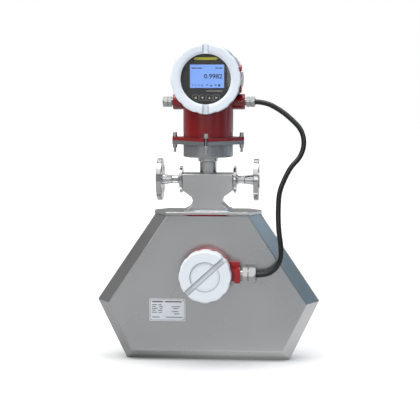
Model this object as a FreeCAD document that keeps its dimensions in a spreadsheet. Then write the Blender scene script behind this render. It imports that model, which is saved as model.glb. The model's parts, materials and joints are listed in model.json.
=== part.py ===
import FreeCAD, Part
import math
import os
import re

import Sketcher
from FreeCAD import Placement, Rotation, Vector

# A coriolis mass flow meter with its transmitter head above the sensor case.
# Frame: millimetres, +Z up, X along the pipe (inlet at -X), the display faces -Y.
# Origin: the middle of the case's flat lower rim.

# Sizes, in millimetres and degrees; each becomes a named cell of the spreadsheet.
SIZES = {
    # sensor case
    "case_bottom_half_width": 194.0,
    "case_middle_half_width": 262.0,
    "case_middle_height": 141.0,
    "case_top_half_width": 123.0,
    "case_shell_height": 348.0,
    "case_half_depth": 45.0,
    "case_rim_half_depth": 14.0,
    "case_bevel_width": 25.0,
    "case_wall": 3.0,
    "case_bend_radius": 5.0,
    "top_plate_thickness": 6.0,
    "top_plate_overhang": 3.0,
    "type_plate_width": 85.0,
    "type_plate_height": 53.0,
    "type_plate_thickness": 1.0,
    "type_plate_across": -93.4,
    "type_plate_up": 122.5,
    # manifold and process connections
    "pipe_axis_height": 427.0,
    "pipe_bore_radius": 5.0,
    "base_pad_half_width": 54.5,
    "base_pad_half_depth": 47.0,
    "base_pad_thickness": 3.0,
    "base_pad_corner_radius": 3.0,
    "manifold_foot_half_width": 51.5,
    "manifold_waist_half_width": 27.0,
    "manifold_top_half_width": 60.0,
    "manifold_half_depth": 30.0,
    "manifold_waist_height": 380.0,
    "manifold_slope_top": 404.0,
    "manifold_top_height": 442.0,
    "manifold_waist_radius": 14.0,
    "manifold_edge_radius": 2.0,
    "manifold_rim_radius": 2.5,
    "disc_radius": 31.5,
    "disc_thickness": 6.5,
    "disc_hub_radius": 12.5,
    "disc_hub_length": 3.0,
    "stub_radius": 9.4,
    "stub_length": 16.0,
    "flange_radius": 49.3,
    "flange_thickness": 11.9,
    "flange_hub_radius": 12.8,
    "flange_hub_length": 22.0,
    "raised_face_radius": 21.5,
    "raised_face_height": 1.6,
    "flange_bolt_circle_radius": 34.95,
    "flange_bolt_hole_radius": 7.95,
    # flow tubes inside the case
    "tube_half_spacing": 18.0,
    "tube_radius": 6.0,
    "tube_wall": 1.0,
    "tube_leg_half_width": 22.0,
    "tube_socket_depth": 8.0,
    "tube_leg_bottom": 305.0,
    "tube_outer_half_width": 212.0,
    "tube_outer_height": 146.0,
    "tube_low_half_width": 160.0,
    "tube_low_height": 40.0,
    "tube_bend_radius": 34.0,
    "tube_hole_clearance": 0.2,
    "brace_height": 332.0,
    "brace_thickness": 3.0,
    "brace_margin": 5.0,
    "coil_radius": 8.0,
    "coil_gap": 1.0,
    "coil_saddle_length": 22.0,
    "coil_saddle_height": 18.0,
    "coil_saddle_reach": 9.0,
    "magnet_radius": 3.5,
    "magnet_clearance": 0.6,
    "pickoff_share_along_leg": 0.78,
    "probe_radius": 3.0,
    "probe_length": 18.0,
    # neck and adapter
    "neck_radius": 20.0,
    "neck_bore_radius": 14.0,
    "neck_collar_radius": 23.5,
    "neck_collar_height": 11.0,
    "neck_height": 39.0,
    "adapter_radius": 58.5,
    "adapter_height": 29.5,
    "adapter_wall": 5.0,
    "adapter_edge_radius": 3.0,
    "ear_half_side": 63.2,
    "ear_corner_radius": 10.0,
    "ear_thickness": 9.0,
    "housing_ear_thickness": 8.0,
    "clamp_circle_radius": 78.4,
    "clamp_slot_half_width": 3.4,
    "bolt_radius": 3.0,
    "bolt_head_radius": 5.0,
    "bolt_head_height": 7.0,
    "bolt_socket_radius": 2.9,
    "bolt_socket_depth": 3.5,
    "bolt_tail": 10.5,
    "nut_half_width": 5.0,
    "nut_height": 5.0,
    "washer_radius": 6.0,
    "washer_thickness": 1.6,
    "spring_washer_radius": 5.2,
    "spring_washer_thickness": 2.0,
    # transmitter housing
    "drum_height": 662.4,
    "drum_radius": 75.0,
    "drum_half_length": 62.0,
    "drum_bore_radius": 62.0,
    "drum_spigot_radius": 70.0,
    "drum_spigot_length": 12.0,
    "drum_bulkhead_front": 10.0,
    "drum_bulkhead_rear": 20.0,
    "housing_neck_radius": 58.5,
    "housing_neck_bore_radius": 48.0,
    "housing_neck_bore_height": 62.0,
    "gland_axis_height": 608.8,
    "gland_boss_radius": 18.3,
    "gland_boss_reach": 85.0,
    "gland_boss_rear_depth": 28.0,
    "gland_entry_radius": 8.0,
    "side_pad_reach": 78.0,
    "side_pad_height": 63.0,
    "side_pad_depth": 54.0,
    "side_pad_corner_radius": 8.0,
    "side_plate_height": 37.0,
    "side_plate_depth": 40.0,
    "side_plate_thickness": 2.0,
    # screw covers of the head
    "cover_radius": 79.5,
    "cover_front_depth": 90.0,
    "cover_seat_gap": 0.3,
    "cover_thread_gap": 0.3,
    "cover_lobe_count": 12.0,
    "cover_scallop_radius": 27.0,
    "cover_scallop_depth": 1.4,
    "cover_edge_radius": 3.0,
    "cover_lip_thickness": 5.0,
    "cover_window_radius": 57.3,
    "cover_bevel_width": 7.0,
    "cover_bevel_depth": 3.5,
    "cover_notch_half_width": 7.0,
    "cover_notch_depth": 4.0,
    "cover_thread_room": 1.0,
    "glass_radius": 62.0,
    "glass_thickness": 6.0,
    "glass_gap": 0.1,
    "retaining_ring_depth": 4.0,
    "retaining_ring_inner_radius": 58.0,
    "rear_recess_radius": 50.0,
    "rear_recess_depth": 3.0,
    "cord_ring_wire_radius": 1.4,
    "cord_ring_inset": 2.3,
    "cord_ring_gap": 0.1,
    # display and electronics
    "bezel_radius": 57.0,
    "bezel_front_depth": 74.0,
    "bezel_thickness": 4.0,
    "bezel_rim_height": 1.0,
    "bezel_rim_width": 2.5,
    "lcd_half_width": 39.0,
    "lcd_half_height": 26.5,
    "lcd_across": 2.3,
    "lcd_up": 6.4,
    "lcd_recess": 1.0,
    "key_radius": 3.6,
    "key_spacing": 16.0,
    "key_drop": 42.5,
    "key_proud": 0.6,
    "board_radius": 55.0,
    "board_thickness": 1.6,
    "board_front_depth": 66.0,
    "post_radius": 3.0,
    "post_circle_radius": 50.0,
    "module_post_circle_radius": 36.0,
    "module_radius": 43.0,
    "module_front_depth": 58.0,
    "terminal_half_width": 44.0,
    "terminal_half_height": 15.0,
    "terminal_depth": 22.0,
    "terminal_count": 8.0,
    "terminal_screw_radius": 3.2,
    "terminal_screw_height": 2.0,
    # cable glands
    "gland_half_flats": 12.0,
    "gland_washer_radius": 9.0,
    "gland_washer_thickness": 3.5,
    "gland_hex_length": 7.5,
    "gland_groove_radius": 9.8,
    "gland_groove_length": 1.5,
    "gland_nut_length": 11.0,
    "gland_dome_length": 4.0,
    "gland_mouth_radius": 8.6,
    "gland_shank_length": 9.0,
    "gland_neck_end": 19.0,
    "gland_nut_room": 0.5,
    "gland_seal_proud": 1.0,
    "gland_entry_gap": 0.1,
    "gland_wire_radius": 4.0,
    "lower_gland_scale": 1.5,
    # junction box on the case
    "junction_height": 213.0,
    "junction_radius": 59.5,
    "junction_shoulder_depth": 84.0,
    "junction_bore_radius": 45.0,
    "junction_spigot_radius": 52.0,
    "junction_spigot_depth": 97.0,
    "junction_floor_thickness": 7.0,
    "lower_gland_height": 211.5,
    "lower_gland_depth": 72.0,
    "junction_boss_half_height": 17.0,
    "junction_boss_front_depth": 89.0,
    "junction_boss_back_depth": 60.0,
    "junction_boss_start": 66.0,
    "junction_boss_reach": 80.0,
    "junction_boss_edge_radius": 4.0,
    "junction_shoulder_top": 240.0,
    "junction_shoulder_reach": 77.0,
    "junction_cover_radius": 60.0,
    "junction_cover_front_depth": 121.0,
    "junction_cover_web": 13.0,
    "junction_cover_lobe_count": 12.0,
    "junction_cover_scallop_radius": 45.0,
    "junction_cover_scallop_depth": 1.4,
    "junction_cover_edge_radius": 3.0,
    "junction_recess_radius": 35.0,
    "junction_recess_depth": 3.0,
    "junction_notch_half_width": 6.5,
    "junction_notch_depth": 7.5,
    "junction_notch_angle": 42.5,
    "junction_terminal_half_width": 26.0,
    "junction_terminal_half_height": 11.0,
    "junction_terminal_depth": 16.0,
    "feedthrough_radius": 10.0,
    "feedthrough_proud": 2.0,
    # cable between junction box and head
    "cable_radius": 6.0,
    "cable_grip_gap": 0.1,
}

os.makedirs("parts", exist_ok=True)
doc = FreeCAD.newDocument("coriolis_flow_meter")

# Spreadsheet of driving dimensions

sheet = doc.addObject("Spreadsheet::Sheet", "Sizes")
for row, (alias, value) in enumerate(SIZES.items(), start=1):
    sheet.set(f"A{row}", alias.replace("_", " "))
    sheet.set(f"B{row}", str(value))
    sheet.setAlias(f"B{row}", alias)
doc.recompute()


def formula(text):
    """A formula in which each size's name is turned into a reference to its cell."""
    def cell(word):
        return "Sizes." + word.group() if word.group() in SIZES else word.group()
    return re.sub(r"[a-z][a-z_0-9]+", cell, text)


def bind(item, prop, text):
    item.setExpression(prop, formula(text))


def size(alias):
    """The value that a size has in the sheet."""
    return float(sheet.get(alias))


# Directions: each turns a piece's own Z axis to the way it faces in the meter.
UP = Rotation()
TO_OUTLET = Rotation(Vector(0, 1, 0), 90)
TO_INLET = Rotation(Vector(0, 1, 0), -90)
TO_FRONT = Rotation(Vector(1, 0, 0), 90)
TO_REAR = Rotation(Vector(1, 0, 0), -90)

PIECES = []


def piece(item, label):
    """Marks a finished sub-part, which is written to a file of its own."""
    item.Label = label
    PIECES.append(item)
    return item


def place(item, rotation, across="0", along="0", up="0"):
    item.Placement = Placement(Vector(), rotation)
    bind(item, "Placement.Base.x", across)
    bind(item, "Placement.Base.y", along)
    bind(item, "Placement.Base.z", up)
    return item


# Sketches and features of a body

# Where new sketch geometry starts, before its bound constraints move it to its place
START_REACH = 10.0
# How near two places count as the same when edges and faces are picked
TOUCHING = 0.01


def new_body(name):
    return doc.addObject("PartDesign::Body", name + "_body")


def sketch_on(body, plane, name, offset="0"):
    sketch = body.newObject("Sketcher::SketchObject", name)
    support = [item for item in body.Origin.OriginFeatures if item.Role == plane][0]
    sketch.AttachmentSupport = (support, [""])
    sketch.MapMode = "FlatFace"
    if offset != "0":
        bind(sketch, "AttachmentOffset.Base.z", offset)
    return sketch


def add_outline(sketch, corners):
    """A closed outline of straight edges; each corner is a pair of formulas."""
    first = sketch.GeometryCount
    count = len(corners)
    turns = [2 * math.pi * number / count for number in range(count)]
    ring = [Vector(START_REACH * math.cos(turn), START_REACH * math.sin(turn), 0) for turn in turns]
    edges = [Part.LineSegment(ring[n], ring[(n + 1) % count]) for n in range(count)]
    sketch.addGeometry(edges, False)
    for n in range(count):
        sketch.addConstraint(Sketcher.Constraint("Coincident", first + n, 2, first + (n + 1) % count, 1))
    for number, (across, up) in enumerate(corners):
        corner = first + number
        held = sketch.addConstraint(Sketcher.Constraint("DistanceX", -1, 1, corner, 1, ring[number].x))
        bind(sketch, f"Constraints[{held}]", across)
        held = sketch.addConstraint(Sketcher.Constraint("DistanceY", -1, 1, corner, 1, ring[number].y))
        bind(sketch, f"Constraints[{held}]", up)


def add_circle(sketch, across, up, radius):
    centre = Vector(START_REACH, START_REACH, 0)
    number = sketch.addGeometry(Part.Circle(centre, Vector(0, 0, 1), 1), False)
    for kind, text in (("DistanceX", across), ("DistanceY", up)):
        held = sketch.addConstraint(Sketcher.Constraint(kind, -1, 1, number, 3, START_REACH))
        bind(sketch, f"Constraints[{held}]", text)
    held = sketch.addConstraint(Sketcher.Constraint("Radius", number, 1.0))
    bind(sketch, f"Constraints[{held}]", radius)


def rectangle(half_width, half_height, up="0", across="0"):
    left, right = f"{across} - ({half_width})", f"{across} + {half_width}"
    low, high = f"{up} - ({half_height})", f"{up} + {half_height}"
    return [(left, low), (right, low), (right, high), (left, high)]


def hexagon(half_flats):
    corners = []
    for turn in range(30, 390, 60):
        corners.append((f"{half_flats} / cos(30) * cos({turn})", f"{half_flats} / cos(30) * sin({turn})"))
    return corners


def pad(body, sketch, length, symmetric=False, backwards=False):
    feature = body.newObject("PartDesign::Pad", sketch.Name + "_pad")
    feature.Profile = sketch
    if symmetric:
        feature.SideType = "Symmetric"
    feature.Reversed = backwards
    bind(feature, "Length", length)
    return feature


def pocket(body, sketch, depth, symmetric=False, backwards=False):
    feature = body.newObject("PartDesign::Pocket", sketch.Name + "_pocket")
    feature.Profile = sketch
    if symmetric:
        feature.SideType = "Symmetric"
    feature.Reversed = backwards
    bind(feature, "Length", depth)
    return feature


def turn(body, section, name, cut=False):
    """Turns a half section, given as (radius, height) corners, round the body's Z axis."""
    sketch = sketch_on(body, "XZ_Plane", name)
    add_outline(sketch, section)
    kind = "PartDesign::Groove" if cut else "PartDesign::Revolution"
    feature = body.newObject(kind, name + "_turn")
    feature.Profile = sketch
    feature.ReferenceAxis = (sketch, ["V_Axis"])
    feature.Angle = 360
    return feature


def around(body, feature, count):
    """Repeats a feature round the body's Z axis."""
    axis = [item for item in body.Origin.OriginFeatures if item.Role == "Z_Axis"][0]
    pattern = body.newObject("PartDesign::PolarPattern", feature.Name + "_around")
    pattern.Originals = [feature]
    pattern.Axis = (axis, [""])
    pattern.Angle = 360
    bind(pattern, "Occurrences", count)
    body.Tip = pattern
    return pattern


def edges_where(feature, wanted):
    """The names of a feature's edges that a test picks out."""
    doc.recompute()
    return [f"Edge{n}" for n, edge in enumerate(feature.Shape.Edges, start=1) if wanted(edge)]


def rounded(body, feature, radius, wanted, name):
    fillet = body.newObject("PartDesign::Fillet", name)
    fillet.Base = (feature, edges_where(feature, wanted))
    bind(fillet, "Radius", radius)
    return fillet


def upright(edge):
    box = edge.BoundBox
    return box.ZLength > 0.5 and box.XLength < 0.001 and box.YLength < 0.001


def level_circle(radius, height):
    """Tests for a full circle round the Z axis at one height."""
    def test(edge):
        box = edge.BoundBox
        flat = abs(box.ZMin - height) < 0.01 and abs(box.ZMax - height) < 0.01
        return flat and abs(box.XMax - radius) < 0.01 and abs(box.XMin + radius) < 0.01
    return test


def turned(label, section, rotation=UP, across="0", along="0", up="0"):
    """A piece with one turned solid."""
    body = new_body(label)
    turn(body, section, label + "_section")
    place(body, rotation, across, along, up)
    return piece(body, label)


def ring_section(inner, outer, low, high):
    return [(inner, low), (outer, low), (outer, high), (inner, high)]


# Part primitives

def cylinder(name, radius, height, rotation=UP, across="0", along="0", up="0"):
    item = doc.addObject("Part::Cylinder", name)
    bind(item, "Radius", radius)
    bind(item, "Height", height)
    return place(item, rotation, across, along, up)


def block(name, length, width, height, across, along, up):
    item = doc.addObject("Part::Box", name)
    bind(item, "Length", length)
    bind(item, "Width", width)
    bind(item, "Height", height)
    return place(item, UP, across, along, up)


def fused(name, shapes):
    item = doc.addObject("Part::MultiFuse", name)
    item.Shapes = shapes
    return item


def cut(name, base, tool):
    item = doc.addObject("Part::Cut", name)
    item.Base = base
    item.Tool = tool
    return item


def group(label, solids):
    """Like pieces that lie apart, kept together as one sub-part."""
    item = doc.addObject("Part::Compound", label + "_group")
    item.Links = solids
    return piece(item, label)


# Sensor case: two pressed dishes, each with five bevelled sides, and a thick top plate

def case_shell(label):
    body = new_body(label)
    sketch = sketch_on(body, "XZ_Plane", label + "_outline")
    add_outline(sketch, [
        ("-case_bottom_half_width", "0"),
        ("case_bottom_half_width", "0"),
        ("case_middle_half_width", "case_middle_height"),
        ("case_top_half_width", "case_shell_height"),
        ("-case_top_half_width", "case_shell_height"),
        ("-case_middle_half_width", "case_middle_height"),
    ])
    solid = pad(body, sketch, "case_half_depth")
    depth = size("case_half_depth")
    top = size("case_shell_height")
    wall = size("case_wall")
    rim = size("case_rim_half_depth")

    def front_edge(edge):
        box = edge.BoundBox
        return box.YMax < TOUCHING - depth and box.ZMin < top - wall

    bevel = body.newObject("PartDesign::Chamfer", label + "_bevel")
    bevel.Base = (solid, edges_where(solid, front_edge))
    bevel.ChamferType = "Two distances"
    bind(bevel, "Size", "case_half_depth - case_rim_half_depth")
    bind(bevel, "Size2", "case_bevel_width")
    doc.recompute()
    open_faces = []
    for number, face in enumerate(bevel.Shape.Faces, start=1):
        box = face.BoundBox
        if box.YMin > -0.001 or box.ZMin > top - 0.001:
            open_faces.append(f"Face{number}")
    hollow = body.newObject("PartDesign::Thickness", label + "_hollow")
    hollow.Base = (bevel, open_faces)
    hollow.Mode = "Skin"
    hollow.Join = "Intersection"
    hollow.Reversed = True
    bind(hollow, "Value", "case_wall")
    skin = bevel.Shape.Shells[0]

    def outer_bend(edge):
        middle = edge.valueAt((edge.FirstParameter + edge.LastParameter) / 2)
        box = edge.BoundBox
        on_skin = skin.distToShape(Part.Vertex(middle))[0] < 0.001
        return on_skin and box.YMax < TOUCHING - rim and box.ZMin < top - 2 * wall

    rounded(body, hollow, "case_bend_radius", outer_bend, label + "_folds")
    return body


front_shell = case_shell("case_front_shell")
hole = sketch_on(front_shell, "XZ_Plane", "feedthrough_hole")
add_circle(hole, "0", "junction_height", "feedthrough_radius")
pocket(front_shell, hole, "4 * case_half_depth", symmetric=True)
piece(front_shell, "case_front_shell")

rear_shell = case_shell("case_rear_shell")
rear_shell.Placement = Placement(Vector(), Rotation(Vector(0, 0, 1), 180))
piece(rear_shell, "case_rear_shell")

# The upper slanted side, the depth of its bevel at the top, and the levels that stack up from it
SLOPE_RUN = "(case_middle_half_width - case_top_half_width)"
SLOPE_RISE = "(case_shell_height - case_middle_height)"
BEVEL_ACROSS = f"(case_bevel_width * hypot({SLOPE_RUN}; {SLOPE_RISE}) / {SLOPE_RISE})"
PANEL_TOP_HALF_WIDTH = f"(case_top_half_width - {BEVEL_ACROSS})"
CASE_TOP = "(case_shell_height + top_plate_thickness)"
BASE_PAD_TOP = "(case_shell_height + top_plate_thickness + base_pad_thickness)"
NECK_TOP = "(manifold_top_height + neck_height)"
ADAPTER_TOP = f"({NECK_TOP} + adapter_height + ear_thickness)"
HEAD_EAR_TOP = f"({ADAPTER_TOP} + housing_ear_thickness)"


def tube_holes(body, name, depth, radius="tube_radius + tube_hole_clearance"):
    """Four holes for the two flow tubes' legs, cut down from the body's XY plane or up from it."""
    sketch = sketch_on(body, "XY_Plane", name)
    for across in ("-tube_leg_half_width", "tube_leg_half_width"):
        for along in ("-tube_half_spacing", "tube_half_spacing"):
            add_circle(sketch, across, along, radius)
    return pocket(body, sketch, depth, symmetric=True)


top_plate = new_body("case_top_plate")
plate_outline = sketch_on(top_plate, "XY_Plane", "top_plate_outline")
plate_tip = "(case_top_half_width + top_plate_overhang)"
plate_corner = f"({PANEL_TOP_HALF_WIDTH} + top_plate_overhang)"
plate_edge = "(case_half_depth + top_plate_overhang)"
add_outline(plate_outline, [
    (f"-{plate_corner}", f"-{plate_edge}"),
    (plate_corner, f"-{plate_edge}"),
    (plate_tip, "-case_rim_half_depth"),
    (plate_tip, "case_rim_half_depth"),
    (plate_corner, plate_edge),
    (f"-{plate_corner}", plate_edge),
    (f"-{plate_tip}", "case_rim_half_depth"),
    (f"-{plate_tip}", "-case_rim_half_depth"),
])
pad(top_plate, plate_outline, "top_plate_thickness")
tube_holes(top_plate, "top_plate_tube_holes", "4 * top_plate_thickness")
piece(place(top_plate, UP, up="case_shell_height"), "case_top_plate")

type_plate = new_body("type_plate")
plate_face = sketch_on(type_plate, "XZ_Plane", "type_plate_face")
add_outline(plate_face, rectangle("type_plate_width / 2", "type_plate_height / 2"))
plate_solid = pad(type_plate, plate_face, "type_plate_thickness")
rounded(type_plate, plate_solid, "type_plate_thickness * 2",
        lambda edge: edge.BoundBox.YLength > 0.5, "type_plate_corners")
piece(place(type_plate, UP, "type_plate_across", "-case_half_depth", "type_plate_up"), "type_plate")

# Manifold: base pad and the bow-tie block with its drilled passages

base_pad = new_body("manifold_base_pad")
pad_outline = sketch_on(base_pad, "XY_Plane", "base_pad_outline")
add_outline(pad_outline, rectangle("base_pad_half_width", "base_pad_half_depth"))
pad_solid = pad(base_pad, pad_outline, "base_pad_thickness")
rounded(base_pad, pad_solid, "base_pad_corner_radius", upright, "base_pad_corners")
tube_holes(base_pad, "base_pad_tube_holes", "4 * base_pad_thickness")
piece(place(base_pad, UP, up=CASE_TOP), "manifold_base_pad")

manifold = new_body("manifold")
bow_tie = sketch_on(manifold, "XZ_Plane", "manifold_outline")
add_outline(bow_tie, [
    ("-manifold_foot_half_width", BASE_PAD_TOP),
    ("manifold_foot_half_width", BASE_PAD_TOP),
    ("manifold_waist_half_width", "manifold_waist_height"),
    ("manifold_top_half_width", "manifold_slope_top"),
    ("manifold_top_half_width", "manifold_top_height"),
    ("-manifold_top_half_width", "manifold_top_height"),
    ("-manifold_top_half_width", "manifold_slope_top"),
    ("-manifold_waist_half_width", "manifold_waist_height"),
])
manifold_solid = pad(manifold, bow_tie, "2 * manifold_half_depth", symmetric=True)
waist = size("manifold_waist_half_width")
shoulder = size("manifold_top_half_width")


def across_depth_at(half_width):
    """Tests for an edge that runs front to back at one half width."""
    def test(edge):
        box = edge.BoundBox
        return box.YLength > 1 and abs(abs(box.Center.x) - half_width) < 0.01
    return test


waist_bend = rounded(manifold, manifold_solid, "manifold_waist_radius", across_depth_at(waist), "waist_bend")
shoulders = rounded(manifold, waist_bend, "manifold_edge_radius", across_depth_at(shoulder), "shoulder_edges")
face_depth = size("manifold_half_depth")
foot_level = size("case_shell_height") + size("top_plate_thickness") + size("base_pad_thickness")


def on_a_face_rim(edge):
    """True for the outline of the front or the rear face, except along the foot."""
    box = edge.BoundBox
    flat = box.YLength < TOUCHING and abs(abs(box.Center.y) - face_depth) < TOUCHING
    return flat and box.ZMax > foot_level + TOUCHING


rounded(manifold, shoulders, "manifold_rim_radius", on_a_face_rim, "face_rims")

passages = []
for side, sign in (("inlet", "-1"), ("outlet", "1")):
    facing = TO_INLET if side == "inlet" else TO_OUTLET
    leg_across = f"{sign} * tube_leg_half_width"
    passages.append(cylinder(side + "_port", "pipe_bore_radius",
                             "manifold_top_half_width - tube_leg_half_width", facing,
                             leg_across, "0", "pipe_axis_height"))
    passages.append(cylinder(side + "_cross_drill", "pipe_bore_radius", "2 * tube_half_spacing",
                             TO_FRONT, leg_across, "tube_half_spacing", "pipe_axis_height"))
    for row, along in (("front", "-tube_half_spacing"), ("rear", "tube_half_spacing")):
        passages.append(cylinder(f"{side}_{row}_down_drill", "pipe_bore_radius",
                                 f"pipe_axis_height - {BASE_PAD_TOP}", UP, leg_across, along, BASE_PAD_TOP))
        passages.append(cylinder(f"{side}_{row}_tube_socket", "tube_radius + tube_hole_clearance",
                                 "tube_socket_depth", UP, leg_across, along, BASE_PAD_TOP))
piece(cut("manifold_drilled", manifold, fused("manifold_passages", passages)), "manifold_block")

# Process connections, the same at the inlet and the outlet

DISC_END = "(manifold_top_half_width + disc_thickness + disc_hub_length)"


def bolt_holes(body, name, circle, radius, height, depth):
    """Four holes on a circle, midway between the body's X and Y axes."""
    sketch = sketch_on(body, "XY_Plane", name, height)
    add_circle(sketch, f"{circle} * cos(45)", f"{circle} * sin(45)", radius)
    return around(body, pocket(body, sketch, depth), "4")


def process_connection(side, facing, sign):
    turned(side + "_end_disc", [
        ("pipe_bore_radius", "0"),
        ("disc_radius", "0"),
        ("disc_radius", "disc_thickness"),
        ("disc_hub_radius", "disc_thickness"),
        ("disc_hub_radius", "disc_thickness + disc_hub_length"),
        ("pipe_bore_radius", "disc_thickness + disc_hub_length"),
    ], facing, f"{sign} * manifold_top_half_width", "0", "pipe_axis_height")
    turned(side + "_stub", ring_section("pipe_bore_radius", "stub_radius", "0", "stub_length"),
           facing, f"{sign} * {DISC_END}", "0", "pipe_axis_height")
    flange = new_body(side + "_flange")
    plate_end = "(flange_hub_length + flange_thickness)"
    turn(flange, [
        ("pipe_bore_radius", "0"),
        ("stub_radius", "0"),
        ("flange_hub_radius", "flange_hub_length"),
        ("flange_radius - 1", "flange_hub_length"),
        ("flange_radius", "flange_hub_length + 1"),
        ("flange_radius", f"{plate_end} - 1"),
        ("flange_radius - 1", plate_end),
        ("raised_face_radius", plate_end),
        ("raised_face_radius", f"{plate_end} + raised_face_height"),
        ("pipe_bore_radius", f"{plate_end} + raised_face_height"),
    ], side + "_flange_section")
    bolt_holes(flange, side + "_flange_holes", "flange_bolt_circle_radius", "flange_bolt_hole_radius",
               f"{plate_end} + 1", "flange_thickness + 2")
    place(flange, facing, f"{sign} * ({DISC_END} + stub_length)", "0", "pipe_axis_height")
    piece(flange, side + "_flange")


process_connection("inlet", TO_INLET, "-1")
process_connection("outlet", TO_OUTLET, "1")

# Flow tubes: two equal tubes, each from the inlet leg round the case to the outlet leg

def rounded_path(corners, radii):
    """A wire of straight runs joined by tangent arcs, one radius for each inner corner."""
    edges = []
    start = corners[0]
    for number in range(1, len(corners) - 1):
        before, corner, after = corners[number - 1:number + 2]
        into = (corner - before).normalize()
        away = (after - corner).normalize()
        half_turn = into.getAngle(away) / 2
        setback = radii[number - 1] * math.tan(half_turn)
        arc_start = corner - into * setback
        arc_end = corner + away * setback
        inward = (away - into).normalize()
        centre = corner + inward * (radii[number - 1] / math.cos(half_turn))
        middle = centre - inward * radii[number - 1]
        edges.append(Part.LineSegment(start, arc_start).toShape())
        edges.append(Part.Arc(arc_start, middle, arc_end).toShape())
        start = arc_end
    edges.append(Part.LineSegment(start, corners[-1]).toShape())
    return Part.Wire(edges)


def swept(name, path, radius):
    """A round section swept along a wire."""
    start = path.Edges[0].valueAt(path.Edges[0].FirstParameter)
    heading = path.Edges[0].tangentAt(path.Edges[0].FirstParameter)
    ring = Part.Wire(Part.makeCircle(radius, start, heading))
    return path.makePipeShell([ring], True, False)


def flow_tube(label, along):
    """One tube: its legs stand in the manifold's sockets and it follows the case's slanted sides."""
    leg = size("tube_leg_half_width")
    top = size("case_shell_height") + size("top_plate_thickness") + size("base_pad_thickness")
    top += size("tube_socket_depth")
    half = [
        (leg, top),
        (leg, size("tube_leg_bottom")),
        (size("tube_outer_half_width"), size("tube_outer_height")),
        (size("tube_low_half_width"), size("tube_low_height")),
    ]
    points = [Vector(-x, 0, z) for x, z in half] + [Vector(x, 0, z) for x, z in reversed(half)]
    path = rounded_path(points, [size("tube_bend_radius") for _ in points[1:-1]])
    outer = swept(label, path, size("tube_radius"))
    inner = swept(label, path, size("tube_radius") - size("tube_wall"))
    tube = doc.addObject("Part::Feature", label + "_sweep")
    tube.Shape = outer.cut(inner)
    place(tube, UP, along=along)
    return piece(tube, label)


flow_tube("flow_tube_front", "-tube_half_spacing")
flow_tube("flow_tube_rear", "tube_half_spacing")

for side, sign in (("inlet", "-1"), ("outlet", "1")):
    brace = new_body(side + "_brace_bar")
    bar = sketch_on(brace, "XY_Plane", side + "_brace_outline")
    add_outline(bar, rectangle("tube_radius + brace_margin",
                               "tube_half_spacing + tube_radius + brace_margin"))
    add_circle(bar, "0", "-tube_half_spacing", "tube_radius")
    add_circle(bar, "0", "tube_half_spacing", "tube_radius")
    pad(brace, bar, "brace_thickness")
    place(brace, UP, f"{sign} * tube_leg_half_width", "0", "brace_height")
    piece(brace, side + "_brace_bar")


def sensing_pair(coil_label, magnet_label, across, up, tilt):
    """A coil on the front tube and a magnet on the rear tube, each on a saddle brazed round its tube."""
    reach = "(tube_half_spacing - coil_saddle_reach)"
    for label, sign in ((coil_label, "-1"), (magnet_label, "1")):
        saddle = doc.addObject("Part::Box", label + "_saddle_block")
        bind(saddle, "Length", "coil_saddle_length")
        bind(saddle, "Width", "coil_saddle_reach")
        bind(saddle, "Height", "coil_saddle_height")
        y_low = f"-{reach} - coil_saddle_reach" if sign == "-1" else reach
        place(saddle, UP, "-coil_saddle_length / 2", y_low, "-coil_saddle_height / 2")
        tube = cylinder(label + "_tube_seat", "tube_radius + tube_hole_clearance", "2 * coil_saddle_length",
                        TO_OUTLET, "-coil_saddle_length", f"{sign} * tube_half_spacing", "0")
        seat = cut(label + "_saddle", saddle, tube)
        if sign == "-1":
            winding = cylinder(label + "_winding", "coil_radius", f"{reach} - coil_gap", TO_REAR,
                               "0", f"-{reach}", "0")
            room = cylinder(label + "_room", "magnet_radius + magnet_clearance",
                            f"{reach} - coil_gap / 2", TO_REAR, "0", f"-{reach} + coil_gap / 2", "0")
            solid = cut(label + "_solid", fused(label + "_bobbin", [seat, winding]), room)
        else:
            rod = cylinder(label + "_rod", "magnet_radius", f"2 * {reach} - 3 * coil_gap", TO_FRONT,
                           "0", reach, "0")
            solid = fused(label + "_solid", [seat, rod])
        doc.recompute()
        holder = doc.addObject("Part::Compound", label + "_holder")
        holder.Links = [solid]
        holder.Placement = Placement(Vector(), Rotation(Vector(0, 1, 0), tilt))
        bind(holder, "Placement.Base.x", across)
        bind(holder, "Placement.Base.z", up)
        piece(holder, label)


LEG_RUN = "(tube_outer_half_width - tube_leg_half_width)"
LEG_DROP = "(tube_leg_bottom - tube_outer_height)"
leg_tilt = math.degrees(math.atan2(size("tube_leg_bottom") - size("tube_outer_height"),
                                   size("tube_outer_half_width") - size("tube_leg_half_width")))
sensing_pair("drive_coil", "drive_magnet", "0", "tube_low_height", 0)
for side, sign, tilt in (("inlet", "-1", -leg_tilt), ("outlet", "1", leg_tilt)):
    sensing_pair(side + "_pickoff_coil", side + "_pickoff_magnet",
                 f"{sign} * (tube_leg_half_width + pickoff_share_along_leg * {LEG_RUN})",
                 f"tube_leg_bottom - pickoff_share_along_leg * {LEG_DROP}", tilt)

probe = cylinder("temperature_probe", "probe_radius", "probe_length", UP,
                 "-tube_leg_half_width + tube_radius + probe_radius + tube_hole_clearance",
                 "-tube_half_spacing", "brace_height - probe_length")
piece(probe, "temperature_sensor")

# Neck tube with its turned collar, and the cast adapter that carries the head

turned("neck_tube", [
    ("neck_bore_radius", "0"),
    ("neck_radius", "0"),
    ("neck_radius", "neck_height - neck_collar_height"),
    ("neck_collar_radius - 1", "neck_height - neck_collar_height"),
    ("neck_collar_radius", "neck_height - neck_collar_height + 1"),
    ("neck_collar_radius", "neck_height - 1"),
    ("neck_collar_radius - 1", "neck_height"),
    ("neck_bore_radius", "neck_height"),
], UP, "0", "0", "manifold_top_height")


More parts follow.
